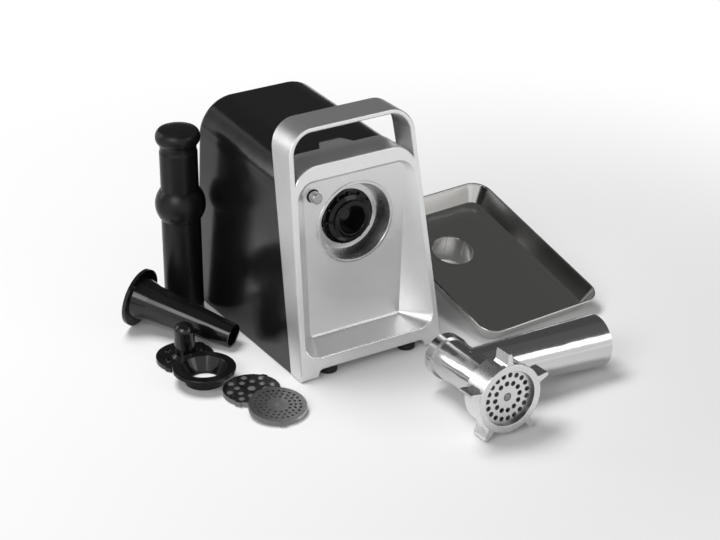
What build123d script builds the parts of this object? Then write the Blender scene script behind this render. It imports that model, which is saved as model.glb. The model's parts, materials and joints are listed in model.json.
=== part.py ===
from build123d import *
import os
from math import acos, asin, atan, cos, degrees, pi, radians, sin, tan

os.makedirs("parts", exist_ok=True)

# Electric meat grinder: motor unit, grinding head and loose accessories laid out around it.
# Millimetres. +Z is up, the unit faces -Y, and the origin lies on the table in the middle of the layout.

# Place of the motor unit: middle of its front foot line
unit_x = -35.11
unit_y = -21.96

# Clearances
seam_gap = 0.3
slide_gap = 0.3
run_gap = 0.05
rest_gap = 0.05

# Front frame with the strap handle
base_width = 158.0
handle_width = 134.0
handle_height = 238.0
handle_corner = 26.0
strap_wall = 5.0
strap_edge_round = 1.6
strap_foot_depth = 20.4
front_lean = 9.5
rear_lean = 12.7
rail_bottom = 8.0
rail_top = 20.0
foot_lift = 1.0
foot_width = 19.5
foot_corner = 5.0

# Hood and deep recess of the front frame
hood_height = 202.5
hood_corner = 27.0
skin = 3.0
tongue_reach = 13.0
tongue_root_width = 40.0
tongue_tip_width = 24.0
recess_rim = 5.5
recess_high = 189.0
recess_corner_low = 15.0
recess_corner_high = 20.0
panel_depth = 33.5
panel_low = 26.0
panel_high = 186.0
panel_low_width = 100.0
panel_high_width = 112.0
panel_corner_low = 3.0
panel_corner_high = 9.0

# Rear shell and base
unit_depth = 220.0
shell_wall = 3.0
shell_step = 0.4
shell_narrowing = 0.005
shell_rise = 0.06
shell_corner_front = 30.0
shell_corner_rear = 38.0
shell_rear_round = 8.0
shell_foot = 1.0
base_low = 3.0
base_wall = 3.0
vent_length = 56.0
vent_width = 3.4
vent_pitch = 8.0
vent_count = 7
vent_height = 96.0
boss_radius = 5.0
boss_height = 16.0
boss_front_y = 60.0
boss_rear_inset = 48.0
screw_radius = 1.7
screw_head_radius = 3.2
screw_head_height = 1.6
rubber_radius = 9.0
rubber_front_x = 44.0
rubber_front_y = 11.5
rubber_rear_x = 56.0
rubber_rear_inset = 28.0
rubber_plug_radius = 3.0

# Locking collar and drive coupler
drive_height = 136.0
collar_lip_radius = 41.5
collar_lip = 1.2
collar_mouth_radius = 38.5
collar_floor_radius = 33.0
collar_depth = 15.0
collar_wall = 2.4
collar_bore_radius = 27.6
coupler_radius = 27.0
coupler_reach = 11.0
coupler_nose_radius = 19.3
coupler_bore_radius = 14.0
coupler_bore_depth = 14.0
coupler_rear = 4.0
coupler_rib_count = 12

# Lock release button
button_radius = 5.5
button_reach = 9.5
button_x = -45.5
button_height = 173.0
button_flange = 1.5
button_travel = 4.5
stem_radius = 2.6
latch_depth = 8.5
latch_wall = 4.0
latch_width = 5.0
latch_bite = 1.0
spring_packed = 9.5
guide_half_span = 9.0
guide_wall = 2.5
guide_width = 9.0
spring_radius = 4.3
spring_wire_radius = 0.5
spring_turns = 5

# Gear train: tooth counts, modules and face widths
pinion_teeth = 13
first_gear_teeth = 65
first_module = 1.0
second_gear_teeth = 52
second_module = 1.5
pressure_angle = 20.0
addendum = 0.8
dedendum = 1.08
backlash = 0.14
flank_steps = 2
first_face = 10.0
second_face = 12.0
pinion_extra = 1.0
output_radius = 5.0
axle_radius = 4.0
gear_hub_radius = 11.0
web_recess = 2.5
shaft_shoulder = 1.5

# Gearbox
gearbox_depth = 41.0
gearbox_wall = 3.0
gearbox_ring_radius = 34.0
gearbox_ring_bore = 30.0
gearbox_top_radius = 47.0
gearbox_mid_radius = 40.0
gearbox_low_radius = 40.0
journal_boss_radius = 8.0
journal_depth = 5.0
gear_end_gap = 1.0
bush_wall = 4.5
wall_boss = 2.0
ear_radius = 5.0
ear_reach = 2.0
ear_length = 16.0

# Motor
bearing_radius = 11.0
bearing_width = 7.0
bearing_seat_wall = 3.0
stator_size = 64.0
stator_corner = 12.0
stator_length = 38.0
stator_start = 22.0
yoke_side = 6.0
yoke_top = 9.0
pole_width = 24.0
armature_radius = 18.5
air_gap = 0.9
armature_slots = 12
slot_width = 2.2
slot_depth = 6.0
coil_overhang = 6.0
coil_width = 44.0
coil_height = 14.0
winding_radius = 15.0
winding_length = 5.0
winding_round = 2.0
fan_radius = 28.0
fan_width = 5.0
fan_blades = 10
fan_hub_radius = 8.0
fan_plate = 1.5
fan_blade_angle = 20.0
commutator_radius = 11.5
commutator_length = 13.0
commutator_gap = 8.0
bracket_gap = 24.0
bracket_wall = 5.0
bracket_leg = 5.0
bracket_leg_height = 14.0
bracket_height = 24.0
brush_width = 6.0
brush_height = 8.0
brush_wall = 1.2
brush_gap = 0.4
bolt_radius = 2.0
bolt_head_radius = 3.6
bolt_head = 3.0
bolt_x = 28.5
bolt_z = 18.0
pillar_radius = 4.4
bolt_grip = 12.0

# Power switch on the right side and cord inlet at the rear
switch_y = 150.0
switch_height = 120.0
switch_width = 20.0
switch_length = 36.0
bezel = 2.0
switch_corner = 3.0
switch_depth = 16.0
rocker_width = 11.6
rocker_length = 26.0
rocker_thickness = 5.0
rocker_rise = 1.6
rocker_dip = 1.4
rocker_pin_radius = 1.5
rocker_pin = 1.2
rocker_tilt = -9.0
rocker_swing = 1.2
switch_well_depth = 7.0
inlet_x = 45.0
inlet_height = 24.0
inlet_radius = 6.0
inlet_flange_radius = 8.5
inlet_flange = 2.0
inlet_bore_radius = 3.6

# Grinding head: places from the crossing of the barrel axis and the feed tube axis
head_x = 33.0
head_y = -112.0
head_pitch = 2.0
barrel_radius = 19.6
barrel_wall = 3.2
tail_length = 43.0
tail_collar_radius = 21.4
tail_collar_length = 12.0
tail_groove = 1.4
tail_wall = 6.0
tail_bore_radius = 9.0
bayonet_width = 12.0
bayonet_length = 6.0
bayonet_count = 2
mouth_length = 65.0
mouth_radius = 30.2
flare_length = 10.0
feed_length = 146.0
feed_root_radius = 19.8
feed_mouth_radius = 25.6
feed_wall = 2.6
feed_socket_radius = 23.4
feed_socket_depth = 14.0
feed_socket_step = 1.0

# Ring nut
nut_length = 25.0
nut_radius = 32.2
nut_flange_radius = 33.2
nut_flange = 5.0
nut_lip = 4.5
nut_round = 0.8
nut_opening_radius = 26.2
lug_count = 5
lug_reach = 44.0
lug_width = 4.4
lug_tip = 2.4
lug_root_width = 11.0
lug_length = 19.0

# Grinding plates, blade and feed screw
plate_radius = 27.0
plate_thickness = 5.0
plate_bore_radius = 4.0
plate_tab = 1.6
plate_tab_width = 6.0
plate_proud = 2.0
coarse_tab_turn = 30.0
fine_tab_turn = 66.0
medium_rows = ((19, 21.4, 2.45, -8.7), (12, 13.3, 2.45, 6.3))
fine_rows = ((26, 21.2, 1.4, 11.8), (20, 16.5, 1.4, 5.0), (14, 12.0, 1.4, 18.7))
coarse_rows = ((8, 21.2, 3.2, -14.1), (8, 13.4, 3.0, 8.4))
blade_reach = 25.0
blade_thickness = 7.0
blade_width = 8.0
blade_hub_radius = 9.0
screw_square = 9.0
screw_pin_gap = 0.6
screw_gap = 0.5
screw_core_radius = 7.5
screw_pitch = 21.0
screw_turns = 3
flight_thickness = 3.6
drive_stub_length = 15.0
drive_stub_flats = 13.0
bush_thickness = 1.5

# Pusher
pusher_x = -101.5
pusher_y = 196.0
pusher_radius = 19.5
pusher_height = 198.5
bulge_radius = 25.0
bulge_height = 117.0
bulge_half = 16.0
grip_radius = 18.8
neck_drop = 22.5
neck_half = 4.0
neck_dip = 0.8
knob_radius = 22.0
knob_drop = 9.5
knob_top_radius = 18.5
knob_crown = 3.5
pusher_wall = 3.0
cap_thickness = 2.5
cap_inset = 0.5

# Sausage tube, lying on its flange and tip
tube_flange_x = -154.5
tube_flange_y = 191.0
tube_tip_x = -98.5
tube_tip_y = 99.0
tube_flange_radius = 29.5
tube_flange = 3.5
tube_neck_radius = 22.0
tube_root_radius = 18.0
tube_tip_radius = 12.0
tube_wall = 2.0
tube_neck_length = 15.0
tube_bore_length = 30.0

# Kebbe ring and kebbe cone
ring_x = -153.5
ring_y = 54.0
ring_radius = 30.0
ring_height = 15.5
ring_flange = 3.0
ring_collar_radius = 18.9
ring_bore_radius = 14.4
ring_mouth_radius = 21.2
ring_shoulder_radius = 22.6
ring_collar_height = 7.0
ring_shoulder_rise = 2.5
ring_rim = 2.0
cone_x = -149.5
cone_y = 102.0
cone_disc_radius = 28.0
cone_disc = 4.0
cone_peg_radius = 10.0
cone_height = 39.0
cone_hub_radius = 13.0
cone_hub_height = 7.0
cone_window_radius = 19.0
cone_window_width = 5.0
cone_window_arc = 12.0
cone_window_count = 6
cone_tab_angle = 30.0

# Loose plates: the fine one leans on the coarse one
coarse_x = -127.1
coarse_y = 10.6
fine_x = -123.4
fine_y = -31.9

# Food tray: leans on its near edge and on its spout
tray_x = 175.0
tray_y = 68.4
tray_yaw = 3.8
tray_tilt = 15.6
tray_length = 206.0
tray_width = 144.5
tray_depth = 18.0
tray_draft = 8.5
tray_corner = 18.0
tray_floor_corner = 12.0
tray_sheet = 1.0
tray_bead = 2.4
tray_hole_far = 34.3
tray_hole_left = 10.7
spout_radius = 23.0
spout_wall = 0.9

# Worked-out sizes of the motor unit
side_taper = (base_width - handle_width) / 2 / handle_height
rear_slope = tan(radians(rear_lean))
floor_depth = panel_depth + collar_depth
back_depth = floor_depth + collar_wall
gearbox_front = back_depth + coupler_rear + 1.0
cover_front = gearbox_front + gearbox_depth
cover_back = cover_front + gearbox_wall
second_start = gearbox_front + gearbox_wall + 2 * gear_end_gap + 2.0
first_start = second_start + second_face + pinion_extra + 4.0
second_distance = second_module * (pinion_teeth + second_gear_teeth) / 2
first_distance = first_module * (pinion_teeth + first_gear_teeth) / 2
axle_height = drive_height - second_distance
motor_height = axle_height - first_distance
stator_front = cover_back + stator_start
stator_back = stator_front + stator_length
bracket_front = stator_back + bracket_gap
bracket_back = bracket_front + bracket_wall
stator_bore = armature_radius + air_gap


def across(depth):
    """Upright plane at a depth behind the unit's front foot line: x is across, y is height."""
    return Plane(origin=(unit_x, unit_y + depth, 0), x_dir=(1, 0, 0), z_dir=(0, -1, 0))


def level(height):
    """Level plane at a height: x is across, y is the depth behind the unit's front foot line."""
    return Plane(origin=(unit_x, unit_y, height))


def along(height):
    """Upright plane through a depthwise axis at a height: x is the depth, y the radius."""
    return Plane(origin=(unit_x, unit_y, height), x_dir=(0, 1, 0), z_dir=(1, 0, 0))


def depth_axis(height):
    """Depthwise axis of the unit at a height."""
    return Axis((unit_x, unit_y, height), (0, 1, 0))


def side_half(height):
    """Half the frame's width at a height."""
    return base_width / 2 - side_taper * height


def outline(plane, *points):
    """Closed straight-sided face on a plane."""
    with BuildSketch(plane) as shape:
        with BuildLine():
            Polyline(*points, close=True)
        make_face()
    return shape.sketch


def rounds(depth, radius, *centres):
    """Equal circles on the upright plane at a depth."""
    with BuildSketch(across(depth)) as shape:
        with Locations(*centres):
            Circle(radius)
    return shape.sketch


def tapered(plane, low, high, half_low, half_high, corner_low, corner_high):
    """Upright outline with straight sides between two heights and rounded corners."""
    with BuildSketch(plane) as shape:
        with BuildLine():
            Polyline((-half_low, low), (half_low, low), (half_high, high), (-half_high, high), close=True)
        make_face()
        if corner_high:
            fillet(shape.vertices().group_by(Axis.Y)[-1], corner_high)
        if corner_low:
            fillet(shape.vertices().group_by(Axis.Y)[0], corner_low)
    return shape.sketch


# Leaning planes that bound the frame in front and behind
front_plane = Plane(
    origin=(unit_x, unit_y, 0), x_dir=(1, 0, 0),
    z_dir=(0, -cos(radians(front_lean)), sin(radians(front_lean))))
rear_plane = Plane(
    origin=(unit_x, unit_y + strap_foot_depth, 0), x_dir=(1, 0, 0),
    z_dir=(0, -cos(radians(rear_lean)), sin(radians(rear_lean))))


def frame_outline(inset, low, high, corner):
    """Outline of the frame drawn in from its sides, between two heights."""
    return tapered(across(0), low, high, side_half(low) - inset, side_half(high) - inset, 0, corner)


def recess_faces(grow):
    """Front and rear outlines of the recess, grown evenly for its outer skin."""
    rise = 1 / cos(radians(front_lean))
    front = tapered(
        front_plane.offset(seam_gap), (rail_top - grow) * rise, (recess_high + grow) * rise,
        side_half(rail_top) - recess_rim + grow, side_half(recess_high) - recess_rim + grow,
        recess_corner_low + grow, recess_corner_high + grow)
    rear = tapered(
        across(panel_depth + grow), panel_low - grow, panel_high + grow,
        panel_low_width / 2 + grow, panel_high_width / 2 + grow,
        panel_corner_low + grow, panel_corner_high + grow)
    return [front, rear]


def tongue_outline(gap):
    """Plan of the tongue that runs from the hood into the shell's top, grown by a gap."""
    root = strap_foot_depth + rear_slope * hood_height - skin
    tip = root + skin + tongue_reach + gap
    wide = tongue_root_width / 2 + gap
    narrow = tongue_tip_width / 2 + gap
    with BuildSketch(level(hood_height)) as shape:
        with BuildLine():
            Polyline((-wide, root), (wide, root), (narrow, tip), (-narrow, tip), close=True)
        make_face()
        fillet(shape.vertices().group_by(Axis.Y)[-1], skin)
    return shape.sketch


# Front frame: strap handle, hood, recess and bottom rail in one moulding
frame_reach = strap_foot_depth + rear_slope * handle_height + skin
arch_half = base_width / 2 - foot_width
with BuildPart() as frame_hollow:
    extrude(frame_outline(strap_wall, rail_top, hood_height - skin, hood_corner - skin), amount=-frame_reach)
    split(bisect_by=front_plane.offset(-skin), keep=Keep.BOTTOM)

with BuildPart() as front_frame:
    extrude(frame_outline(0, foot_lift, handle_height, handle_corner), amount=-frame_reach)
    extrude(
        frame_outline(strap_wall, rail_top, handle_height - strap_wall, handle_corner - strap_wall),
        amount=-frame_reach, mode=Mode.SUBTRACT)
    extrude(frame_outline(strap_wall / 2, rail_top - skin, hood_height, hood_corner), amount=-frame_reach)
    extrude(
        tapered(across(0), 0, rail_bottom, arch_half, arch_half - foot_lift, 0, foot_corner),
        amount=-frame_reach, mode=Mode.SUBTRACT)
    split(bisect_by=front_plane, keep=Keep.BOTTOM)
    split(bisect_by=rear_plane, keep=Keep.TOP)
    leaning_face = front_frame.faces().filter_by(
        lambda face: face.normal_at().dot(front_plane.z_dir) > 0.999)
    fillet(leaning_face.edges(), strap_edge_round)
    add(frame_hollow.part, mode=Mode.SUBTRACT)
    loft(recess_faces(skin), ruled=True)
    split(bisect_by=front_plane, keep=Keep.BOTTOM)
    loft(recess_faces(0), ruled=True, mode=Mode.SUBTRACT)
    extrude(tongue_outline(0), amount=-skin)
    extrude(
        rounds(panel_depth - skin, collar_lip_radius - collar_lip, (0, drive_height)),
        amount=-3 * skin, mode=Mode.SUBTRACT)
    extrude(
        rounds(panel_depth - skin, button_radius + slide_gap, (button_x, button_height)),
        amount=-3 * skin, mode=Mode.SUBTRACT)
front_frame.part.label = "front_frame"
export_step(front_frame.part, "parts/front_frame.step")


def shell_half(depth, height):
    """Half the shell's width at a depth and a height."""
    return side_half(height) - shell_step - shell_narrowing * depth


def shell_top(depth):
    """Height of the shell's top at a depth: it meets the hood's top at their joint."""
    joint_depth = strap_foot_depth + rear_slope * hood_height
    return hood_height + shell_rise * (depth - joint_depth)


def shell_face(depth, inset, low):
    """Cross-section of the shell at a depth, drawn in by an inset."""
    top = shell_top(depth) - inset
    corner = shell_corner_front + (shell_corner_rear - shell_corner_front) * depth / unit_depth - inset
    return tapered(
        across(depth), low, top, shell_half(depth, low) - inset, shell_half(depth, top) - inset, 0, corner)


# Rear shell: drafted black housing with rounded rear edges, vents, switch opening and cord inlet
base_top = base_low + base_wall
boss_spots = [
    (side * (shell_half(depth, base_top) - shell_wall - boss_radius + seam_gap), depth)
    for side in (-1, 1) for depth in (boss_front_y, unit_depth - boss_rear_inset)]
switch_normal = Vector(1, shell_narrowing, side_taper).normalized()
switch_plane = Plane(
    origin=(unit_x + shell_half(switch_y, switch_height), unit_y + switch_y, switch_height),
    x_dir=(-shell_narrowing, 1, 0), z_dir=switch_normal)
with BuildPart() as shell_core:
    loft(
        [
            shell_face(0, shell_wall, -shell_foot),
            shell_face(unit_depth - shell_wall, shell_wall, -shell_foot)],
        ruled=True)
    core_rim = shell_core.faces().sort_by(Axis.Y)[-1].edges().filter_by(
        lambda edge: edge.center().Z > rail_top)
    fillet(core_rim, shell_rear_round - shell_wall)

with BuildPart() as rear_shell:
    loft([shell_face(0, 0, shell_foot), shell_face(unit_depth, 0, shell_foot)], ruled=True)
    shell_rim = rear_shell.faces().sort_by(Axis.Y)[-1].edges().filter_by(
        lambda edge: edge.center().Z > rail_top)
    fillet(shell_rim, shell_rear_round)
    add(shell_core.part, mode=Mode.SUBTRACT)
    split(bisect_by=rear_plane.offset(-seam_gap), keep=Keep.BOTTOM)
    extrude(tongue_outline(seam_gap), amount=shell_wall + seam_gap, both=True, mode=Mode.SUBTRACT)
    with BuildSketch(across(unit_depth + seam_gap)) as rear_vents:
        with Locations((0, vent_height)):
            with GridLocations(0, vent_pitch, 1, vent_count):
                SlotOverall(vent_length, vent_width)
    extrude(amount=shell_wall + 2 * seam_gap, mode=Mode.SUBTRACT)
    extrude(
        rounds(unit_depth + seam_gap, inlet_radius + seam_gap, (inlet_x, inlet_height)),
        amount=shell_wall + 2 * seam_gap, mode=Mode.SUBTRACT)
    with BuildSketch(switch_plane.offset(seam_gap)) as switch_hole:
        Rectangle(switch_width - 2 * bezel, switch_length - 2 * bezel)
    extrude(amount=-(shell_wall + 2 * seam_gap), mode=Mode.SUBTRACT)
    with BuildSketch(level(base_top)) as boss_feet:
        with Locations(*boss_spots):
            Circle(boss_radius)
    extrude(amount=boss_height)
    with BuildSketch(level(base_top)) as pilot_holes:
        with Locations(*boss_spots):
            Circle(screw_radius + run_gap)
    extrude(amount=boss_height - shell_wall, mode=Mode.SUBTRACT)
rear_shell.part.label = "rear_shell"
export_step(rear_shell.part, "parts/rear_shell.step")


# Base plate: closes the shell from below, with a pad under the gearbox and air vents
def base_half(depth):
    """Half the base plate's width at a depth, a seam inside the shell's wall."""
    return shell_half(depth, base_top) - shell_wall - seam_gap


base_front = strap_foot_depth + rear_slope * base_top + 2 * seam_gap
base_rear = unit_depth - shell_wall - 2 * seam_gap
rear_foot_spots = [(side * rubber_rear_x, unit_depth - rubber_rear_inset) for side in (-1, 1)]
pad_height = motor_height - gearbox_low_radius - base_top - run_gap
with BuildPart() as base_plate:
    with BuildSketch(level(base_low)) as base_face:
        with BuildLine():
            Polyline(
                (-base_half(base_front), base_front), (base_half(base_front), base_front),
                (base_half(base_rear), base_rear), (-base_half(base_rear), base_rear), close=True)
        make_face()
        fillet(base_face.vertices().group_by(Axis.Y)[-1], shell_rear_round)
    extrude(amount=base_wall)
    with BuildSketch(level(base_top)) as gearbox_pad:
        with Locations((0, gearbox_front + gearbox_depth / 2)):
            Rectangle(gearbox_low_radius, gearbox_depth / 2)
    extrude(amount=pad_height)
    with BuildSketch(level(base_low)) as base_vents:
        with Locations((0, stator_front + stator_length / 2)):
            with GridLocations(0, vent_pitch, 1, vent_count):
                SlotOverall(vent_length, vent_width)
    extrude(amount=base_wall, mode=Mode.SUBTRACT)
    with BuildSketch(level(base_low)) as base_holes:
        with Locations(*boss_spots):
            Circle(screw_radius + slide_gap)
        with Locations(*rear_foot_spots):
            Circle(rubber_plug_radius + run_gap)
    extrude(amount=base_wall, mode=Mode.SUBTRACT)
base_plate.part.label = "base_plate"
export_step(base_plate.part, "parts/base_plate.step")

# Base screws: pan heads under the plate, shanks in the shell's bosses
with BuildPart() as base_screws:
    with BuildSketch(level(base_low)) as shanks:
        with Locations(*boss_spots):
            Circle(screw_radius)
    extrude(amount=base_wall + boss_height / 2)
    with BuildSketch(level(base_low)) as heads:
        with Locations(*boss_spots):
            Circle(screw_head_radius)
    extrude(amount=-screw_head_height)
base_screws.part.label = "base_screws"
export_step(base_screws.part, "parts/base_screws.step")

# Rubber feet: tall ones under the front rail, low ones plugged into the base plate
with BuildPart() as rubber_feet:
    with BuildSketch(level(0)) as front_feet:
        with Locations((-rubber_front_x, rubber_front_y), (rubber_front_x, rubber_front_y)):
            Circle(rubber_radius)
    extrude(amount=rail_bottom)
    with BuildSketch(level(0)) as rear_feet:
        with Locations(*rear_foot_spots):
            Circle(rubber_radius)
    extrude(amount=base_low)
    chamfer(rubber_feet.faces().group_by(Axis.Z)[0].edges(), foot_lift)
    with BuildSketch(level(base_low)) as plugs:
        with Locations(*rear_foot_spots):
            Circle(rubber_plug_radius)
    extrude(amount=base_wall + seam_gap)
rubber_feet.part.label = "rubber_feet"
export_step(rubber_feet.part, "parts/rubber_feet.step")

# Lock release: the latch slides with the button, and its nose reaches through the collar's wall
drive_point = Vector(0, 0, drive_height)
button_point = Vector(button_x, 0, button_height)
latch_way = drive_point - button_point
latch_span = latch_way.length
panel_back = panel_depth + skin
latch_front = panel_depth + latch_depth
latch_middle = latch_depth + latch_wall / 2
collar_slope = (collar_mouth_radius - collar_floor_radius) / collar_depth
latch_nose_radius = collar_mouth_radius - collar_slope * latch_middle - latch_bite
latch_reach = latch_span - latch_nose_radius


def latch_plane(depth):
    """Upright plane at the button, its x pointing to the drive axis and its normal to the rear."""
    return Plane(
        origin=(unit_x + button_x, unit_y + depth, button_height), x_dir=latch_way, z_dir=(0, 1, 0))


button_axis = Axis((unit_x + button_x, unit_y, button_height), (0, 1, 0))
button_section = Plane(
    origin=(unit_x + button_x, unit_y, button_height), x_dir=(0, 1, 0), z_dir=(1, 0, 0))
button_front = panel_depth - button_reach
flange_front = panel_back + slide_gap
guide_length = latch_depth - skin + latch_wall + button_travel + spring_packed + guide_wall
guide_back = panel_back + guide_length
stem_end = guide_back + slide_gap
with BuildPart() as lock_button:
    revolve(
        outline(
            button_section, (button_front, 0), (button_front, button_radius), (flange_front, button_radius),
            (flange_front, button_radius + button_flange),
            (flange_front + button_flange, button_radius + button_flange),
            (flange_front + button_flange, stem_radius), (stem_end, stem_radius), (stem_end, 0)),
        axis=button_axis)
    fillet(lock_button.faces().sort_by(Axis.Y)[0].edges(), button_flange)
lock_button.part.label = "lock_button"
export_step(lock_button.part, "parts/lock_button.step")

with BuildPart() as lock_latch:
    with BuildSketch(latch_plane(latch_front)) as latch_face:
        Circle(button_radius)
        with Locations((latch_reach / 2, 0)):
            Rectangle(latch_reach, latch_width)
        Circle(stem_radius + run_gap, mode=Mode.SUBTRACT)
    extrude(amount=latch_wall)
lock_latch.part.label = "lock_latch"
export_step(lock_latch.part, "parts/lock_latch.step")

with BuildPart() as latch_guide:
    with BuildSketch(latch_plane(panel_back)) as guide_legs:
        with Locations((0, -guide_half_span), (0, guide_half_span)):
            Rectangle(guide_width, guide_wall)
    extrude(amount=guide_length)
    with BuildSketch(latch_plane(guide_back - guide_wall)) as guide_bridge:
        Rectangle(guide_width, 2 * guide_half_span + guide_wall)
        Circle(stem_radius + slide_gap, mode=Mode.SUBTRACT)
    extrude(amount=guide_wall)
latch_guide.part.label = "latch_guide"
export_step(latch_guide.part, "parts/latch_guide.step")

# Return spring between the latch and the guide
spring_start = latch_front + latch_wall + spring_wire_radius + run_gap
spring_length = guide_back - guide_wall - spring_wire_radius - run_gap - spring_start
with BuildPart() as lock_spring:
    with BuildLine() as spring_line:
        Helix(
            spring_length / spring_turns, spring_length, spring_radius,
            center=(unit_x + button_x, unit_y + spring_start, button_height), direction=(0, 1, 0))
    with BuildSketch(Plane(origin=spring_line.line @ 0, z_dir=spring_line.line % 0)) as spring_wire:
        Circle(spring_wire_radius)
    sweep(path=spring_line.line, is_frenet=True)
lock_spring.part.label = "lock_spring"
export_step(lock_spring.part, "parts/lock_spring.step")

# Locking collar: conical socket with a raised lip, slotted for the latch
collar_seat_radius = collar_lip_radius - collar_lip - seam_gap
with BuildPart() as locking_collar:
    revolve(
        outline(
            along(drive_height), (panel_depth - collar_lip, collar_mouth_radius),
            (panel_depth - collar_lip, collar_lip_radius), (panel_depth, collar_lip_radius),
            (panel_depth, collar_seat_radius), (panel_back, collar_seat_radius),
            (back_depth, collar_floor_radius + collar_wall), (back_depth, collar_bore_radius),
            (floor_depth, collar_bore_radius), (floor_depth, collar_floor_radius)),
        axis=depth_axis(drive_height))
    fillet(locking_collar.faces().sort_by(Axis.Y)[0].edges(), collar_lip / 2)
    with BuildSketch(latch_plane(latch_front - slide_gap)) as latch_slot:
        with Locations((latch_reach / 2, 0)):
            Rectangle(latch_reach + 2 * slide_gap, latch_width + 2 * slide_gap)
    extrude(amount=back_depth - latch_front + 2 * slide_gap, mode=Mode.SUBTRACT)
locking_collar.part.label = "locking_collar"
export_step(locking_collar.part, "parts/locking_collar.step")

# Drive coupler: stepped black socket with ribs, on the front end of the output shaft
nose_depth = floor_depth - coupler_reach
coupler_back = back_depth + coupler_rear
socket_bottom = nose_depth + coupler_bore_depth
coupler_step = (coupler_nose_radius + coupler_radius) / 2
with BuildPart() as drive_coupler:
    revolve(
        outline(
            along(drive_height), (nose_depth, coupler_bore_radius), (nose_depth, coupler_nose_radius),
            (nose_depth + coupler_reach / 3, coupler_nose_radius),
            (nose_depth + coupler_reach / 2, coupler_step),
            (floor_depth - collar_wall, coupler_step), (floor_depth - collar_wall, coupler_radius),
            (back_depth, coupler_radius), (coupler_back, gear_hub_radius),
            (coupler_back, output_radius + run_gap),
            (socket_bottom, output_radius + run_gap), (socket_bottom, coupler_bore_radius)),
        axis=depth_axis(drive_height))
    with BuildSketch(across(floor_depth - collar_wall)) as coupler_ribs:
        with Locations((0, drive_height)):
            with PolarLocations(coupler_step, coupler_rib_count):
                Rectangle(coupler_radius - coupler_nose_radius - collar_wall, collar_wall)
    extrude(amount=collar_wall)
    fillet(drive_coupler.faces().sort_by(Axis.Y)[0].edges(), collar_lip)
drive_coupler.part.label = "drive_coupler"
export_step(drive_coupler.part, "parts/drive_coupler.step")


# Gear train behind the coupler
def gear_face(depth, height, teeth, module, turn):
    """Spur gear outline with involute flanks and one tooth pointing at the turn angle."""
    pitch_radius = module * teeth / 2
    base_radius = pitch_radius * cos(radians(pressure_angle))
    tip_radius = pitch_radius + addendum * module
    root_radius = pitch_radius - dedendum * module
    start_radius = max(base_radius, root_radius)
    pitch_roll = tan(radians(pressure_angle)) - radians(pressure_angle)
    flank = tip_radius - start_radius
    radii = [start_radius + flank * step / flank_steps for step in range(flank_steps + 1)]
    if root_radius < base_radius:
        radii = [root_radius] + radii
    flank = []
    for radius in radii:
        roll = acos(min(1.0, base_radius / radius))
        flank.append((radius, (pi / 2 - backlash) / teeth + pitch_roll - tan(roll) + roll))
    points = []
    for tooth in range(teeth):
        middle = radians(turn) + 2 * pi * tooth / teeth
        rising = [(radius, middle - half) for radius, half in flank]
        falling = [(radius, middle + half) for radius, half in reversed(flank)]
        for radius, angle in rising + falling:
            points.append((radius * cos(angle), height + radius * sin(angle)))
    return outline(across(depth), *points)


def ring_face(depth, height, outer, inner):
    """Flat ring on the upright plane at a depth."""
    with BuildSketch(across(depth)) as shape:
        with Locations((0, height)):
            Circle(outer)
            Circle(inner, mode=Mode.SUBTRACT)
    return shape.sketch


second_back = second_start + second_face
first_back = first_start + first_face
output_rim = second_module * second_gear_teeth / 2 - 3 * second_module
first_rim = first_module * first_gear_teeth / 2 - 4 * first_module
pinion_turn = 90 + 180 / pinion_teeth
output_journal = cover_front - journal_depth
with BuildPart() as output_gear:
    extrude(
        gear_face(second_start, drive_height, second_gear_teeth, second_module, -90), amount=-second_face)
    extrude(
        ring_face(second_start, drive_height, output_rim, gear_hub_radius),
        amount=-web_recess, mode=Mode.SUBTRACT)
    extrude(
        ring_face(second_back, drive_height, output_rim, gear_hub_radius),
        amount=web_recess, mode=Mode.SUBTRACT)
    extrude(rounds(second_start, output_radius, (0, drive_height)), amount=-second_face, mode=Mode.SUBTRACT)
output_gear.part.label = "output_gear"
export_step(output_gear.part, "parts/output_gear.step")

with BuildPart() as output_shaft:
    extrude(
        rounds(socket_bottom, output_radius, (0, drive_height)),
        amount=-(cover_back - gear_end_gap - socket_bottom))
    extrude(
        rounds(second_back, output_radius + shaft_shoulder, (0, drive_height)),
        amount=-(output_journal - gear_end_gap - second_back))
output_shaft.part.label = "output_shaft"
export_step(output_shaft.part, "parts/output_shaft.step")

with BuildPart() as intermediate_pinion:
    extrude(
        rounds(gearbox_front + gear_end_gap, axle_radius, (0, axle_height)),
        amount=-(cover_back - gearbox_front - 2 * gear_end_gap))
    extrude(
        gear_face(second_start - pinion_extra / 2, axle_height, pinion_teeth, second_module, pinion_turn),
        amount=-(second_face + pinion_extra))
    extrude(
        rounds(second_back, axle_radius + 2 * shaft_shoulder, (0, axle_height)),
        amount=-(first_start - second_back))
intermediate_pinion.part.label = "intermediate_pinion"
export_step(intermediate_pinion.part, "parts/intermediate_pinion.step")

with BuildPart() as intermediate_gear:
    extrude(gear_face(first_start, axle_height, first_gear_teeth, first_module, -90), amount=-first_face)
    extrude(
        ring_face(first_start, axle_height, first_rim, gear_hub_radius),
        amount=-web_recess, mode=Mode.SUBTRACT)
    extrude(
        ring_face(first_back, axle_height, first_rim, gear_hub_radius),
        amount=web_recess, mode=Mode.SUBTRACT)
    extrude(rounds(first_start, axle_radius, (0, axle_height)), amount=-first_face, mode=Mode.SUBTRACT)
intermediate_gear.part.label = "intermediate_gear"
export_step(intermediate_gear.part, "parts/intermediate_gear.step")

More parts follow.
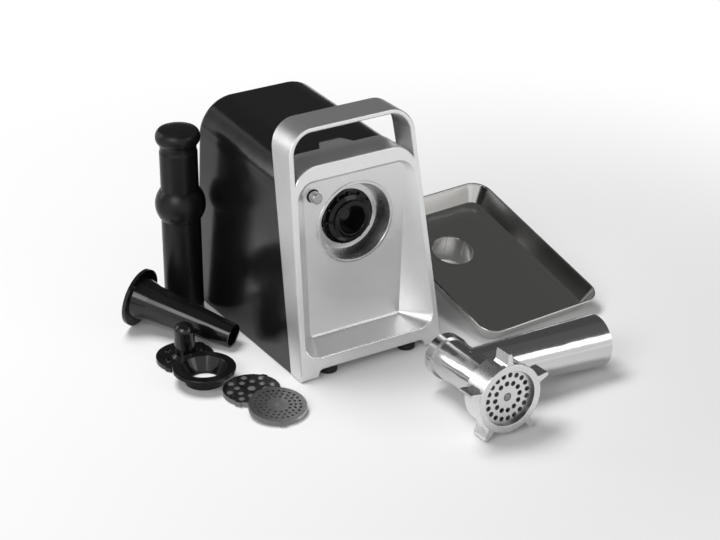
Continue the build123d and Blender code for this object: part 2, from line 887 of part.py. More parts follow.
shaft_front = first_start - pinion_extra
shaft_back = bracket_back + 2 * gear_end_gap
with BuildPart() as motor_shaft:
    extrude(rounds(shaft_front, axle_radius, (0, motor_height)), amount=-(shaft_back - shaft_front))
    extrude(
        gear_face(first_start - pinion_extra / 2, motor_height, pinion_teeth, first_module, pinion_turn),
        amount=-(first_face + pinion_extra))
motor_shaft.part.label = "motor_shaft"
export_step(motor_shaft.part, "parts/motor_shaft.step")

# Gearbox housing and cover around the three axes
ear_spots = [
    (side * (radius + ear_reach), height) for side in (-1, 1)
    for radius, height in ((gearbox_top_radius, drive_height), (gearbox_low_radius, motor_height))]
bolt_spots = [(bolt_x * i, motor_height + bolt_z * j) for i in (-1, 1) for j in (-1, 1)]
bush_radius = output_radius + bush_wall
inner_front = gearbox_front + gearbox_wall


def gearbox_outline(depth, inset):
    """Outline drawn tight round the three axes of the gearbox."""
    with BuildSketch(across(depth)) as shape:
        with Locations((0, drive_height)):
            Circle(gearbox_top_radius - inset)
        with Locations((0, axle_height)):
            Circle(gearbox_mid_radius - inset)
        with Locations((0, motor_height)):
            Circle(gearbox_low_radius - inset)
        make_hull()
    return shape.sketch


with BuildPart() as gearbox_housing:
    extrude(gearbox_outline(gearbox_front, 0), amount=-gearbox_depth)
    extrude(rounds(cover_front, ear_radius, *ear_spots), amount=ear_length)
    extrude(
        gearbox_outline(inner_front, gearbox_wall),
        amount=-(gearbox_depth - gearbox_wall), mode=Mode.SUBTRACT)
    extrude(rounds(inner_front, bush_radius + gearbox_wall, (0, drive_height)), amount=-wall_boss)
    extrude(rounds(inner_front, journal_boss_radius, (0, axle_height)), amount=-wall_boss)
    extrude(
        rounds(gearbox_front, bush_radius, (0, drive_height)),
        amount=-(gearbox_wall + wall_boss), mode=Mode.SUBTRACT)
    extrude(
        rounds(gearbox_front + gear_end_gap / 2, axle_radius + run_gap, (0, axle_height)),
        amount=-(gearbox_wall + wall_boss), mode=Mode.SUBTRACT)
    extrude(
        ring_face(back_depth, drive_height, gearbox_ring_radius, gearbox_ring_bore),
        amount=-(gearbox_front - back_depth))
    extrude(
        rounds(cover_front, screw_radius, *ear_spots),
        amount=ear_length - gearbox_wall, mode=Mode.SUBTRACT)
gearbox_housing.part.label = "gearbox_housing"
export_step(gearbox_housing.part, "parts/gearbox_housing.step")

with BuildPart() as output_bearing:
    extrude(
        ring_face(gearbox_front, drive_height, bush_radius, output_radius + run_gap),
        amount=-(gearbox_wall + wall_boss))
output_bearing.part.label = "output_bearing"
export_step(output_bearing.part, "parts/output_bearing.step")

with BuildPart() as gearbox_cover:
    extrude(gearbox_outline(cover_front, 0), amount=-gearbox_wall)
    extrude(rounds(cover_front, ear_radius, *ear_spots), amount=-gearbox_wall)
    extrude(rounds(cover_front, bush_radius, (0, drive_height)), amount=journal_depth)
    extrude(rounds(cover_front, journal_boss_radius, (0, axle_height)), amount=journal_depth)
    extrude(rounds(cover_back, bearing_radius + bearing_seat_wall, (0, motor_height)), amount=-bearing_width)
    extrude(rounds(cover_back, pillar_radius, *bolt_spots), amount=-stator_start)
    extrude(
        rounds(output_journal, output_radius + run_gap, (0, drive_height)),
        amount=-(journal_depth + gearbox_wall - gear_end_gap / 2), mode=Mode.SUBTRACT)
    extrude(
        rounds(output_journal, axle_radius + run_gap, (0, axle_height)),
        amount=-(journal_depth + gearbox_wall - gear_end_gap / 2), mode=Mode.SUBTRACT)
    extrude(rounds(cover_front, fan_hub_radius, (0, motor_height)), amount=-gearbox_wall, mode=Mode.SUBTRACT)
    extrude(rounds(cover_back, bearing_radius, (0, motor_height)), amount=-bearing_width, mode=Mode.SUBTRACT)
    extrude(rounds(stator_front, bolt_radius, *bolt_spots), amount=bolt_grip, mode=Mode.SUBTRACT)
    extrude(rounds(cover_front, screw_radius, *ear_spots), amount=-gearbox_wall, mode=Mode.SUBTRACT)
gearbox_cover.part.label = "gearbox_cover"
export_step(gearbox_cover.part, "parts/gearbox_cover.step")

with BuildPart() as cover_screws:
    extrude(rounds(cover_back, screw_radius, *ear_spots), amount=gearbox_wall + ear_length / 2)
    extrude(rounds(cover_back, screw_head_radius, *ear_spots), amount=-screw_head_height)
cover_screws.part.label = "cover_screws"
export_step(cover_screws.part, "parts/cover_screws.step")


# Motor: bearings, fan, stator with its coils, rotor, brushes and rear bracket
def bearing_profile(start):
    """Half section of a shielded ball bearing on the motor axis."""
    inner = axle_radius + run_gap
    land = (bearing_radius - inner) / 3
    end = start + bearing_width
    return outline(
        along(motor_height), (start, inner), (start, inner + land), (start + seam_gap, inner + land),
        (start + seam_gap, bearing_radius - land), (start, bearing_radius - land), (start, bearing_radius),
        (end, bearing_radius), (end, bearing_radius - land), (end - seam_gap, bearing_radius - land),
        (end - seam_gap, inner + land), (end, inner + land), (end, inner))


with BuildPart() as front_bearing:
    revolve(bearing_profile(cover_back), axis=depth_axis(motor_height))
front_bearing.part.label = "front_bearing"
export_step(front_bearing.part, "parts/front_bearing.step")

with BuildPart() as rear_bearing:
    revolve(bearing_profile(bracket_back - bearing_width), axis=depth_axis(motor_height))
rear_bearing.part.label = "rear_bearing"
export_step(rear_bearing.part, "parts/rear_bearing.step")

fan_front = cover_back + bearing_width + gear_end_gap
with BuildPart() as cooling_fan:
    extrude(rounds(fan_front, fan_radius, (0, motor_height)), amount=-fan_plate)
    extrude(rounds(fan_front, fan_hub_radius, (0, motor_height)), amount=-fan_width)
    with BuildSketch(across(fan_front + fan_plate)) as blades:
        with Locations((0, motor_height)):
            with PolarLocations((fan_radius + fan_hub_radius) / 2, fan_blades):
                Rectangle(fan_radius - fan_hub_radius - 2 * fan_plate, fan_plate, rotation=fan_blade_angle)
    extrude(amount=-(fan_width - fan_plate))
    extrude(rounds(fan_front, axle_radius, (0, motor_height)), amount=-fan_width, mode=Mode.SUBTRACT)
cooling_fan.part.label = "cooling_fan"
export_step(cooling_fan.part, "parts/cooling_fan.step")

window_half = stator_size / 2 - yoke_top
with BuildPart() as motor_stator:
    with BuildSketch(across(stator_front)) as lamination:
        with Locations((0, motor_height)):
            RectangleRounded(stator_size, stator_size, stator_corner)
            Rectangle(stator_size - 2 * yoke_side, 2 * window_half, mode=Mode.SUBTRACT)
            Rectangle(pole_width, 2 * window_half)
            Circle(stator_bore, mode=Mode.SUBTRACT)
        with Locations(*bolt_spots):
            Circle(bolt_radius, mode=Mode.SUBTRACT)
    extrude(amount=-stator_length)
motor_stator.part.label = "motor_stator"
export_step(motor_stator.part, "parts/motor_stator.step")

stator_middle = stator_front + stator_length / 2
coil_length = stator_length + 2 * coil_overhang
with BuildPart() as field_coils:
    for side in (-1, 1):
        with BuildSketch(level(motor_height + side * window_half)) as coil_turns:
            with Locations((0, stator_middle)):
                RectangleRounded(coil_width, coil_length, coil_overhang)
                Rectangle(pole_width, stator_length, mode=Mode.SUBTRACT)
        extrude(amount=-side * coil_height)
    extrude(
        rounds(stator_front - coil_overhang, stator_bore + gear_end_gap, (0, motor_height)),
        amount=-coil_length, mode=Mode.SUBTRACT)
field_coils.part.label = "field_coils"
export_step(field_coils.part, "parts/field_coils.step")

with BuildPart() as armature_core:
    with BuildSketch(across(stator_front)) as armature_sheet:
        with Locations((0, motor_height)):
            Circle(armature_radius)
            Circle(axle_radius, mode=Mode.SUBTRACT)
            with PolarLocations(armature_radius - slot_depth / 2, armature_slots):
                Rectangle(slot_depth + slot_width, slot_width, mode=Mode.SUBTRACT)
    extrude(amount=-stator_length)
armature_core.part.label = "armature_core"
export_step(armature_core.part, "parts/armature_core.step")

with BuildPart() as armature_windings:
    extrude(ring_face(stator_front, motor_height, winding_radius, axle_radius), amount=winding_length)
    extrude(ring_face(stator_back, motor_height, winding_radius, axle_radius), amount=-winding_length)
    fillet(
        armature_windings.edges().filter_by(GeomType.CIRCLE).filter_by(
            lambda edge: edge.radius > fan_hub_radius),
        winding_round)
armature_windings.part.label = "armature_windings"
export_step(armature_windings.part, "parts/armature_windings.step")

commutator_front = stator_back + commutator_gap
with BuildPart() as commutator:
    with BuildSketch(across(commutator_front)) as commutator_face:
        with Locations((0, motor_height)):
            Circle(commutator_radius)
            Circle(axle_radius, mode=Mode.SUBTRACT)
            with PolarLocations(commutator_radius, armature_slots):
                Rectangle(slot_width, seam_gap * 2, mode=Mode.SUBTRACT)
    extrude(amount=-commutator_length)
commutator.part.label = "commutator"
export_step(commutator.part, "parts/commutator.step")

leg_spots = [(-bolt_x, motor_height), (bolt_x, motor_height)]
leg_inner = bolt_x - bracket_leg / 2
with BuildPart() as motor_bracket:
    with BuildSketch(across(stator_back)) as bracket_legs:
        with Locations(*leg_spots):
            Rectangle(bracket_leg, bracket_leg_height)
    extrude(amount=-bracket_gap)
    with BuildSketch(across(bracket_front)) as bracket_plate:
        with Locations((0, motor_height)):
            Rectangle(2 * bolt_x + bracket_leg, bracket_height)
    extrude(amount=-bracket_wall)
    extrude(
        rounds(bracket_back - bearing_width, bearing_radius + bearing_seat_wall, (0, motor_height)),
        amount=-bearing_width)
    extrude(
        rounds(bracket_back - bearing_width, bearing_radius, (0, motor_height)),
        amount=-bearing_width, mode=Mode.SUBTRACT)
motor_bracket.part.label = "motor_bracket"
export_step(motor_bracket.part, "parts/motor_bracket.step")

brush_depth = commutator_front + commutator_length / 2
brush_start = commutator_radius + brush_gap
holder_start = commutator_radius + 2 * brush_gap + brush_wall


def brush_plane(start):
    """Upright lengthwise plane at a distance to the right of the motor axis."""
    return Plane(
        origin=(unit_x + start, unit_y + brush_depth, motor_height), x_dir=(0, 1, 0), z_dir=(1, 0, 0))


with BuildPart() as brush_holders:
    for side in (-1, 1):
        with BuildSketch(brush_plane(side * holder_start)) as holder_face:
            Rectangle(brush_width + 2 * brush_wall, brush_height + 2 * brush_wall)
        extrude(amount=side * (leg_inner - holder_start))
        with BuildSketch(brush_plane(side * holder_start)) as holder_bore:
            Rectangle(brush_width, brush_height)
        extrude(amount=side * (leg_inner - brush_wall - holder_start), mode=Mode.SUBTRACT)
brush_holders.part.label = "brush_holders"
export_step(brush_holders.part, "parts/brush_holders.step")

with BuildPart() as carbon_brushes:
    for side in (-1, 1):
        with BuildSketch(brush_plane(side * brush_start)) as brush_face:
            Rectangle(brush_width, brush_height)
        extrude(amount=side * (leg_inner - 2 * brush_wall - brush_start))
carbon_brushes.part.label = "carbon_brushes"
export_step(carbon_brushes.part, "parts/carbon_brushes.step")

with BuildPart() as motor_bolts:
    extrude(rounds(stator_back, bolt_radius, *bolt_spots), amount=stator_length + bolt_grip - gear_end_gap)
    extrude(rounds(stator_back, bolt_head_radius, *bolt_spots), amount=-bolt_head)
motor_bolts.part.label = "motor_bolts"
export_step(motor_bolts.part, "parts/motor_bolts.step")

# Power switch: body clipped into the shell's right side, rocker tipped to off
rocker_up = switch_plane.y_dir * cos(radians(rocker_tilt)) - switch_plane.z_dir * sin(radians(rocker_tilt))
rocker_section = Plane(origin=switch_plane.origin, x_dir=rocker_up, z_dir=switch_plane.x_dir * -1)
pivot_plane = Plane(
    origin=switch_plane.origin, x_dir=switch_plane.y_dir, z_dir=switch_plane.x_dir * -1)
body_width = switch_width - 2 * bezel - 2 * seam_gap
body_length = switch_length - 2 * bezel - 2 * seam_gap
pin_half = rocker_width / 2 + rocker_pin
with BuildPart() as switch_body:
    with BuildSketch(switch_plane) as switch_bezel:
        RectangleRounded(switch_width, switch_length, switch_corner)
    extrude(amount=bezel)
    with BuildSketch(switch_plane) as switch_box:
        Rectangle(body_width, body_length)
    extrude(amount=-switch_depth)
    with BuildSketch(switch_plane.offset(bezel)) as switch_well:
        Rectangle(rocker_width + 2 * slide_gap, rocker_length + 2 * rocker_swing)
    extrude(amount=-(bezel + switch_well_depth), mode=Mode.SUBTRACT)
    with BuildSketch(pivot_plane) as pin_holes:
        Circle(rocker_pin_radius + run_gap)
    extrude(amount=pin_half + run_gap, both=True, mode=Mode.SUBTRACT)
switch_body.part.label = "switch_body"
export_step(switch_body.part, "parts/switch_body.step")

rocker_half = rocker_length / 2
rocker_edge = rocker_thickness / 2
rocker_face = outline(
    rocker_section, (-rocker_half, -rocker_edge), (rocker_half, -rocker_edge),
    (rocker_half, rocker_edge + rocker_rise), (0, rocker_edge + rocker_rise - rocker_dip),
    (-rocker_half, rocker_edge + rocker_rise))
with BuildPart() as power_rocker:
    extrude(rocker_face, amount=rocker_width / 2, both=True)
    with BuildSketch(pivot_plane) as pivot_pins:
        Circle(rocker_pin_radius)
    extrude(amount=pin_half, both=True)
power_rocker.part.label = "power_rocker"
export_step(power_rocker.part, "parts/power_rocker.step")

# Cord inlet: rubber grommet in the rear wall
inlet_section = Plane(origin=(unit_x + inlet_x, unit_y, inlet_height), x_dir=(0, 1, 0), z_dir=(1, 0, 0))
wall_inside = unit_depth - shell_wall
with BuildPart() as cord_grommet:
    revolve(
        outline(
            inlet_section, (wall_inside - inlet_flange, inlet_bore_radius),
            (wall_inside - inlet_flange, inlet_radius), (wall_inside, inlet_flange_radius),
            (wall_inside, inlet_radius), (unit_depth, inlet_radius), (unit_depth, inlet_flange_radius),
            (unit_depth + inlet_flange, inlet_flange_radius),
            (unit_depth + inlet_flange, inlet_bore_radius)),
        axis=Axis(inlet_section.origin, (0, 1, 0)))
    fillet(
        cord_grommet.faces().sort_by(Axis.Y)[-1].edges().filter_by(
            GeomType.CIRCLE).sort_by(SortBy.RADIUS)[-1],
        inlet_flange / 2)
cord_grommet.part.label = "cord_grommet"
export_step(cord_grommet.part, "parts/cord_grommet.step")

# Grinding head lying on two lugs of its ring nut and on the rim of its feed tube
pitch = radians(head_pitch)
lug_drop = lug_reach * sin(radians(54)) + lug_tip / 2 * cos(radians(54))
head_height = lug_drop * cos(pitch) - (mouth_length - lug_length) * sin(pitch) + rest_gap
feed_span = (feed_length ** 2 + feed_mouth_radius ** 2) ** 0.5
feed_dip = asin((head_height - rest_gap) / feed_span) - atan(feed_mouth_radius / feed_length)
roll = asin(sin(feed_dip) / cos(pitch))
head_plane = Plane(
    origin=(unit_x + head_x, unit_y + head_y, head_height),
    x_dir=(cos(roll), -sin(roll) * sin(pitch), -sin(roll) * cos(pitch)),
    z_dir=(0, -cos(pitch), sin(pitch)))
barrel_axis = Axis(head_plane.origin, head_plane.z_dir)
feed_axis = Axis(head_plane.origin, head_plane.x_dir)
barrel_section = Plane(origin=head_plane.origin, x_dir=head_plane.z_dir, z_dir=head_plane.x_dir)
feed_section = Plane(origin=head_plane.origin, x_dir=head_plane.x_dir, z_dir=head_plane.y_dir)
mouth_end = mouth_length - nut_lip - plate_proud
plate_back = mouth_length - nut_lip - rest_gap - plate_thickness
blade_back = plate_back - run_gap - blade_thickness
pocket_radius = plate_radius + slide_gap
pocket_back = blade_back - screw_gap
flare_end = mouth_length - nut_length + nut_lip
bore_radius = barrel_radius - barrel_wall
tail_step = tail_collar_length - tail_length
socket_start = feed_length - feed_socket_depth


def barrel(distance):
    """Plane square to the barrel at a distance from the crossing, facing the mouth."""
    return head_plane.offset(distance)


with BuildPart() as head_casting:
    revolve(
        outline(
            barrel_section, (-tail_length, 0), (-tail_length, tail_collar_radius - tail_groove),
            (tail_groove - tail_length, tail_collar_radius), (tail_step, tail_collar_radius),
            (tail_step, barrel_radius), (flare_end - flare_length, barrel_radius), (flare_end, mouth_radius),
            (mouth_end, mouth_radius), (mouth_end, 0)),
        axis=barrel_axis)
    revolve(
        outline(
            feed_section, (0, 0), (0, feed_root_radius), (feed_length, feed_mouth_radius), (feed_length, 0)),
        axis=feed_axis)
    with BuildSketch(barrel(-tail_length)) as bayonet_slots:
        with PolarLocations(tail_collar_radius, bayonet_count):
            Rectangle(2 * tail_groove, bayonet_width)
    extrude(amount=bayonet_length, mode=Mode.SUBTRACT)
    revolve(
        outline(
            barrel_section, (-tail_length, 0), (-tail_length, tail_bore_radius),
            (tail_wall - tail_length, tail_bore_radius), (tail_wall - tail_length, bore_radius),
            (pocket_back, bore_radius), (pocket_back, pocket_radius),
            (mouth_end, pocket_radius), (mouth_end, 0)),
        axis=barrel_axis, mode=Mode.SUBTRACT)
    revolve(
        outline(
            feed_section, (0, 0), (0, feed_root_radius - feed_wall),
            (socket_start, feed_socket_radius - feed_socket_step),
            (socket_start, feed_socket_radius), (feed_length, feed_socket_radius), (feed_length, 0)),
        axis=feed_axis, mode=Mode.SUBTRACT)
    with BuildSketch(barrel(plate_back - screw_gap)) as tab_slots:
        with PolarLocations(plate_radius, 2):
            Rectangle(2 * plate_tab + 2 * slide_gap, plate_tab_width + 2 * slide_gap)
    extrude(amount=mouth_end - plate_back + 2 * screw_gap, mode=Mode.SUBTRACT)
head_casting.part.label = "head_casting"
export_step(head_casting.part, "parts/head_casting.step")

# Ring nut with five fins
nut_back = mouth_length - nut_length
nut_bore = mouth_radius + slide_gap
lug_turn = 90 + degrees(roll)
lug_knee = nut_radius + lug_width / 2
with BuildPart() as ring_nut:
    revolve(
        outline(
            barrel_section, (nut_back, nut_bore), (nut_back, nut_radius),
            (mouth_length - nut_flange, nut_radius), (mouth_length - nut_flange, nut_flange_radius),
            (mouth_length, nut_flange_radius), (mouth_length, nut_opening_radius),
            (mouth_length - nut_lip, nut_opening_radius), (mouth_length - nut_lip, nut_bore)),
        axis=barrel_axis)
    front_rims = ring_nut.edges().filter_by(GeomType.CIRCLE).filter_by(
        lambda edge: abs(
            (edge.arc_center - head_plane.origin).dot(head_plane.z_dir) - mouth_length) < seam_gap)
    fillet(front_rims, nut_round)
    with BuildSketch(barrel(mouth_length - lug_length)) as fins:
        with PolarLocations(0, lug_count, start_angle=lug_turn):
            Polygon(
                (nut_radius - nut_round, -lug_root_width / 2), (lug_knee, -lug_width * 0.7),
                (lug_reach - lug_tip, -lug_width / 2), (lug_reach, -lug_tip / 2), (lug_reach, lug_tip / 2),
                (lug_reach - lug_tip, lug_width / 2), (lug_knee, lug_width * 0.7),
                (nut_radius - nut_round, lug_root_width / 2), align=None)
    extrude(amount=lug_length - nut_round)
ring_nut.part.label = "ring_nut"
export_step(ring_nut.part, "parts/ring_nut.step")


# Plates, blade, screw and bush inside the head
def plate_face(plane, rows, tab_turn):
    """Perforated plate with a middle hole and two tabs, each row and the tabs turned by an angle."""
    with BuildSketch(plane) as shape:
        Circle(plate_radius)
        with PolarLocations(plate_radius, 2, start_angle=tab_turn):
            Rectangle(2 * plate_tab, plate_tab_width)
        Circle(plate_bore_radius, mode=Mode.SUBTRACT)
        for count, radius, hole, turn in rows:
            with PolarLocations(radius, count, start_angle=turn):
                Circle(hole, mode=Mode.SUBTRACT)
    return shape.sketch


with BuildPart() as medium_plate:
    extrude(plate_face(barrel(plate_back), medium_rows, 0), amount=plate_thickness)
medium_plate.part.label = "medium_plate"
export_step(medium_plate.part, "parts/medium_plate.step")

with BuildPart() as cutting_blade:
    with BuildSketch(barrel(blade_back)) as blade_face:
        Circle(blade_hub_radius)
        with PolarLocations(0, 4, start_angle=45):
            Polygon(
                (0, -blade_width / 2), (blade_reach, -blade_width / 4), (blade_reach, blade_width / 4),
                (blade_hub_radius, blade_width / 2), align=None)
        Rectangle(screw_square, screw_square, mode=Mode.SUBTRACT)
    extrude(amount=blade_thickness)
cutting_blade.part.label = "cutting_blade"
export_step(cutting_blade.part, "parts/cutting_blade.step")

bush_start = tail_wall - tail_length
thrust_start = bush_start + bush_thickness + run_gap
flight_start = thrust_start + flight_thickness / 2
flight_radius = bore_radius - screw_gap
flight_middle = (flight_radius + screw_core_radius - screw_gap) / 2
with BuildPart() as feed_screw:
    revolve(
        outline(
            barrel_section, (-tail_length - gear_end_gap, 0),
            (-tail_length - gear_end_gap, tail_bore_radius - run_gap),
            (thrust_start, tail_bore_radius - run_gap), (thrust_start, flight_radius),
            (thrust_start + flight_thickness, flight_radius),
            (thrust_start + flight_thickness, screw_core_radius),
            (blade_back, screw_core_radius), (blade_back, 0)),
        axis=barrel_axis)
    with BuildSketch(barrel(-tail_length - drive_stub_length)) as drive_stub:
        RegularPolygon(drive_stub_flats / 2, 6, major_radius=False)
    extrude(amount=drive_stub_length)
    with BuildSketch(barrel(blade_back)) as blade_square:
        Rectangle(screw_square, screw_square)
    extrude(amount=blade_thickness)
    with BuildSketch(barrel(blade_back)) as front_pin:
        Circle(plate_bore_radius - screw_pin_gap)
    extrude(amount=blade_thickness + plate_thickness)
    with BuildLine() as flight_line:
        Helix(
            screw_pitch, screw_pitch * screw_turns, flight_middle,
            center=barrel(flight_start).origin, direction=head_plane.z_dir)
    with BuildSketch(
            Plane(
                origin=flight_line.line @ 0, x_dir=(flight_line.line @ 0) - barrel(flight_start).origin,
                z_dir=flight_line.line % 0)) as flight_section:
        Rectangle(flight_radius - screw_core_radius + screw_gap, flight_thickness)
    sweep(path=flight_line.line, is_frenet=True)
feed_screw.part.label = "feed_screw"
export_step(feed_screw.part, "parts/feed_screw.step")

with BuildPart() as screw_bush:
    with BuildSketch(barrel(bush_start)) as bush_face:
        Circle(bore_radius)
        Circle(tail_bore_radius + slide_gap, mode=Mode.SUBTRACT)
    extrude(amount=bush_thickness)
screw_bush.part.label = "screw_bush"
export_step(screw_bush.part, "parts/screw_bush.step")


# Loose plates: coarse one flat on the table, fine one leaning on its rim
lean_way = Vector(coarse_x - fine_x, coarse_y - fine_y, 0)
lean_reach = lean_way.length
lean_dir = lean_way.normalized()
lean_rise = plate_thickness + rest_gap
lean = atan(lean_rise / lean_reach)
for step in range(6):
    lean = atan(lean_rise / (lean_reach - plate_radius + plate_radius * cos(lean)))
lean_side = Vector(-lean_dir.Y, lean_dir.X, 0)
coarse_plane = Plane(origin=(unit_x + coarse_x, unit_y + coarse_y, rest_gap), x_dir=lean_side)
fine_plane = Plane(
    origin=(unit_x + fine_x, unit_y + fine_y, rest_gap + plate_radius * sin(lean)), x_dir=lean_side,
    z_dir=(-lean_dir.X * sin(lean), -lean_dir.Y * sin(lean), cos(lean)))
with BuildPart() as coarse_plate:
    extrude(plate_face(coarse_plane, coarse_rows, coarse_tab_turn), amount=plate_thickness)
coarse_plate.part.label = "coarse_plate"
export_step(coarse_plate.part, "parts/coarse_plate.step")

with BuildPart() as fine_plate:
    extrude(plate_face(fine_plane, fine_rows, fine_tab_turn), amount=plate_thickness)
fine_plate.part.label = "fine_plate"
export_step(fine_plate.part, "parts/fine_plate.step")


# Pusher: hollow turned handle with a cap in its lower end
def upright(x, y):
    """Upright plane through a vertical axis: x is the radius, y the height."""
    return Plane(origin=(unit_x + x, unit_y + y, 0), x_dir=(1, 0, 0), z_dir=(0, -1, 0))


def upright_axis(x, y):
    """Vertical axis at a place on the table."""
    return Axis((unit_x + x, unit_y + y, 0), (0, 0, 1))


neck_height = pusher_height - neck_drop
knob_height = pusher_height - knob_drop
bulge_low = bulge_height - bulge_half
bulge_high = bulge_height + bulge_half
pusher_bore = pusher_radius - pusher_wall
crown_radius = (knob_top_radius ** 2 + knob_crown ** 2) / (2 * knob_crown)
crown_half = asin(knob_top_radius / crown_radius) / 2
with BuildSketch(upright(pusher_x, pusher_y)) as pusher_profile:
    with BuildLine():
        Polyline((0, rest_gap), (pusher_radius, rest_gap), (pusher_radius, bulge_low))
        ThreePointArc((pusher_radius, bulge_low), (bulge_radius, bulge_height), (grip_radius, bulge_high))
        Line((grip_radius, bulge_high), (grip_radius, neck_height - neck_half))
        ThreePointArc(
            (grip_radius, neck_height - neck_half), (grip_radius - neck_dip, neck_height),
            (grip_radius, neck_height + neck_half))
        ThreePointArc(
            (grip_radius, neck_height + neck_half), (knob_radius, knob_height),
            (knob_top_radius, pusher_height - knob_crown))
        ThreePointArc(
            (knob_top_radius, pusher_height - knob_crown),
            (crown_radius * sin(crown_half), pusher_height - crown_radius * (1 - cos(crown_half))),
            (0, pusher_height))
        Line((0, pusher_height), (0, rest_gap))
    make_face()
with BuildPart() as pusher_body:
    revolve(pusher_profile.sketch, axis=upright_axis(pusher_x, pusher_y))
    revolve(
        outline(
            upright(pusher_x, pusher_y), (0, rest_gap), (pusher_bore, rest_gap), (pusher_bore, bulge_high),
            (grip_radius - 2 * pusher_wall, bulge_high + pusher_wall),
            (grip_radius - 2 * pusher_wall, neck_height), (0, knob_height)),
        axis=upright_axis(pusher_x, pusher_y), mode=Mode.SUBTRACT)
pusher_body.part.label = "pusher_body"
export_step(pusher_body.part, "parts/pusher_body.step")

with BuildPart() as pusher_cap:
    revolve(
        outline(
            upright(pusher_x, pusher_y), (0, rest_gap + cap_inset), (pusher_bore, rest_gap + cap_inset),
            (pusher_bore, rest_gap + cap_inset + 3 * cap_thickness),
            (pusher_bore - cap_thickness, rest_gap + cap_inset + 3 * cap_thickness),
            (pusher_bore - cap_thickness, rest_gap + cap_inset + cap_thickness),
            (0, rest_gap + cap_inset + cap_thickness)),
        axis=upright_axis(pusher_x, pusher_y))
pusher_cap.part.label = "pusher_cap"
export_step(pusher_cap.part, "parts/pusher_cap.step")

# Sausage tube resting on its flange and on its tip
tube_way = Vector(tube_tip_x - tube_flange_x, tube_tip_y - tube_flange_y, 0)
tube_heading = tube_way.normalized()
tube_dip = 0
for step in range(6):
    tube_length = tube_way.length / cos(tube_dip)
    tube_dip = atan((tube_flange_radius - tube_tip_radius) / (tube_length - tube_flange))
tube_height = rest_gap + tube_flange_radius * cos(tube_dip) + tube_flange * sin(tube_dip)
tube_dir = tube_heading * cos(tube_dip) - Vector(0, 0, sin(tube_dip))
tube_side = Vector(-tube_heading.Y, tube_heading.X, 0)
tube_section = Plane(
    origin=(unit_x + tube_flange_x, unit_y + tube_flange_y, tube_height), x_dir=tube_dir, z_dir=tube_side)
neck_end = tube_flange + tube_neck_length
tip_bore = tube_tip_radius - tube_wall
with BuildPart() as sausage_tube:
    revolve(
        outline(
            tube_section, (0, tube_neck_radius - tube_wall), (0, tube_flange_radius),
            (tube_flange, tube_flange_radius), (tube_flange, tube_neck_radius), (neck_end, tube_root_radius),
            (tube_length, tube_tip_radius), (tube_length, tip_bore),
            (tube_length - tube_bore_length, tip_bore),
            (neck_end, tube_root_radius - tube_wall)),
        axis=Axis(tube_section.origin, tube_dir))
sausage_tube.part.label = "sausage_tube"
export_step(sausage_tube.part, "parts/sausage_tube.step")

# Kebbe ring lying on its collar
flange_low = ring_height - ring_flange
with BuildPart() as kebbe_ring:
    revolve(
        outline(
            upright(ring_x, ring_y), (ring_bore_radius, rest_gap), (ring_collar_radius, rest_gap),
            (ring_collar_radius, ring_collar_height),
            (ring_shoulder_radius, ring_collar_height + ring_shoulder_rise),
            (ring_shoulder_radius, flange_low), (ring_radius, flange_low), (ring_radius, ring_height),
            (ring_mouth_radius, ring_height), (ring_bore_radius, ring_rim)),
        axis=upright_axis(ring_x, ring_y))
    fillet(kebbe_ring.faces().sort_by(Axis.Z)[-1].edges(), rest_gap * 20)
kebbe_ring.part.label = "kebbe_ring"
export_step(kebbe_ring.part, "parts/kebbe_ring.step")

# Kebbe cone: round peg on a disc with six small windows
window_arc = Edge.make_circle(
    cone_window_radius, start_angle=-cone_window_arc / 2, end_angle=cone_window_arc / 2)
with BuildPart() as kebbe_cone:
    with BuildSketch(Plane(origin=(unit_x + cone_x, unit_y + cone_y, rest_gap))) as cone_face:
        Circle(cone_disc_radius)
        with PolarLocations(cone_disc_radius, 2, start_angle=cone_tab_angle):
            Rectangle(2 * plate_tab, plate_tab_width)
        with PolarLocations(0, cone_window_count):
            SlotArc(window_arc, cone_window_width, mode=Mode.SUBTRACT)
    extrude(amount=cone_disc)
    revolve(
        outline(
            upright(cone_x, cone_y), (0, rest_gap), (cone_hub_radius, rest_gap),
            (cone_hub_radius, cone_disc),
            (cone_peg_radius, cone_hub_height), (cone_peg_radius, cone_height), (0, cone_height)),
        axis=upright_axis(cone_x, cone_y))
    fillet(kebbe_cone.faces().sort_by(Axis.Z)[-1].edges(), cone_peg_radius - 2 * cap_inset)
kebbe_cone.part.label = "kebbe_cone"
export_step(kebbe_cone.part, "parts/kebbe_cone.step")

# Food tray: pressed pan with a rolled rim, leaning on its near edge and on its spout
yaw = radians(tray_yaw)
tilt = radians(tray_tilt)
floor_half = tray_length / 2 - tray_draft
tray_height = sin(tilt) * floor_half + cos(tilt) * tray_depth + rest_gap
tray_across = Vector(cos(yaw), sin(yaw), 0)
tray_plane = Plane(
    origin=(unit_x + tray_x, unit_y + tray_y, tray_height), x_dir=tray_across,
    z_dir=(sin(tilt) * sin(yaw), -sin(tilt) * cos(yaw), cos(tilt)))
spout_length = tan(tilt) * (floor_half + tray_hole_far - spout_radius)


def pan_face(drop, inset, corner):
    """Rounded outline of the pan at a depth below its rim."""
    narrowing = inset + tray_draft * drop / tray_depth
    with BuildSketch(tray_plane.offset(-drop)) as shape:
        RectangleRounded(tray_width - 2 * narrowing, tray_length - 2 * narrowing, corner - inset)
    return shape.sketch


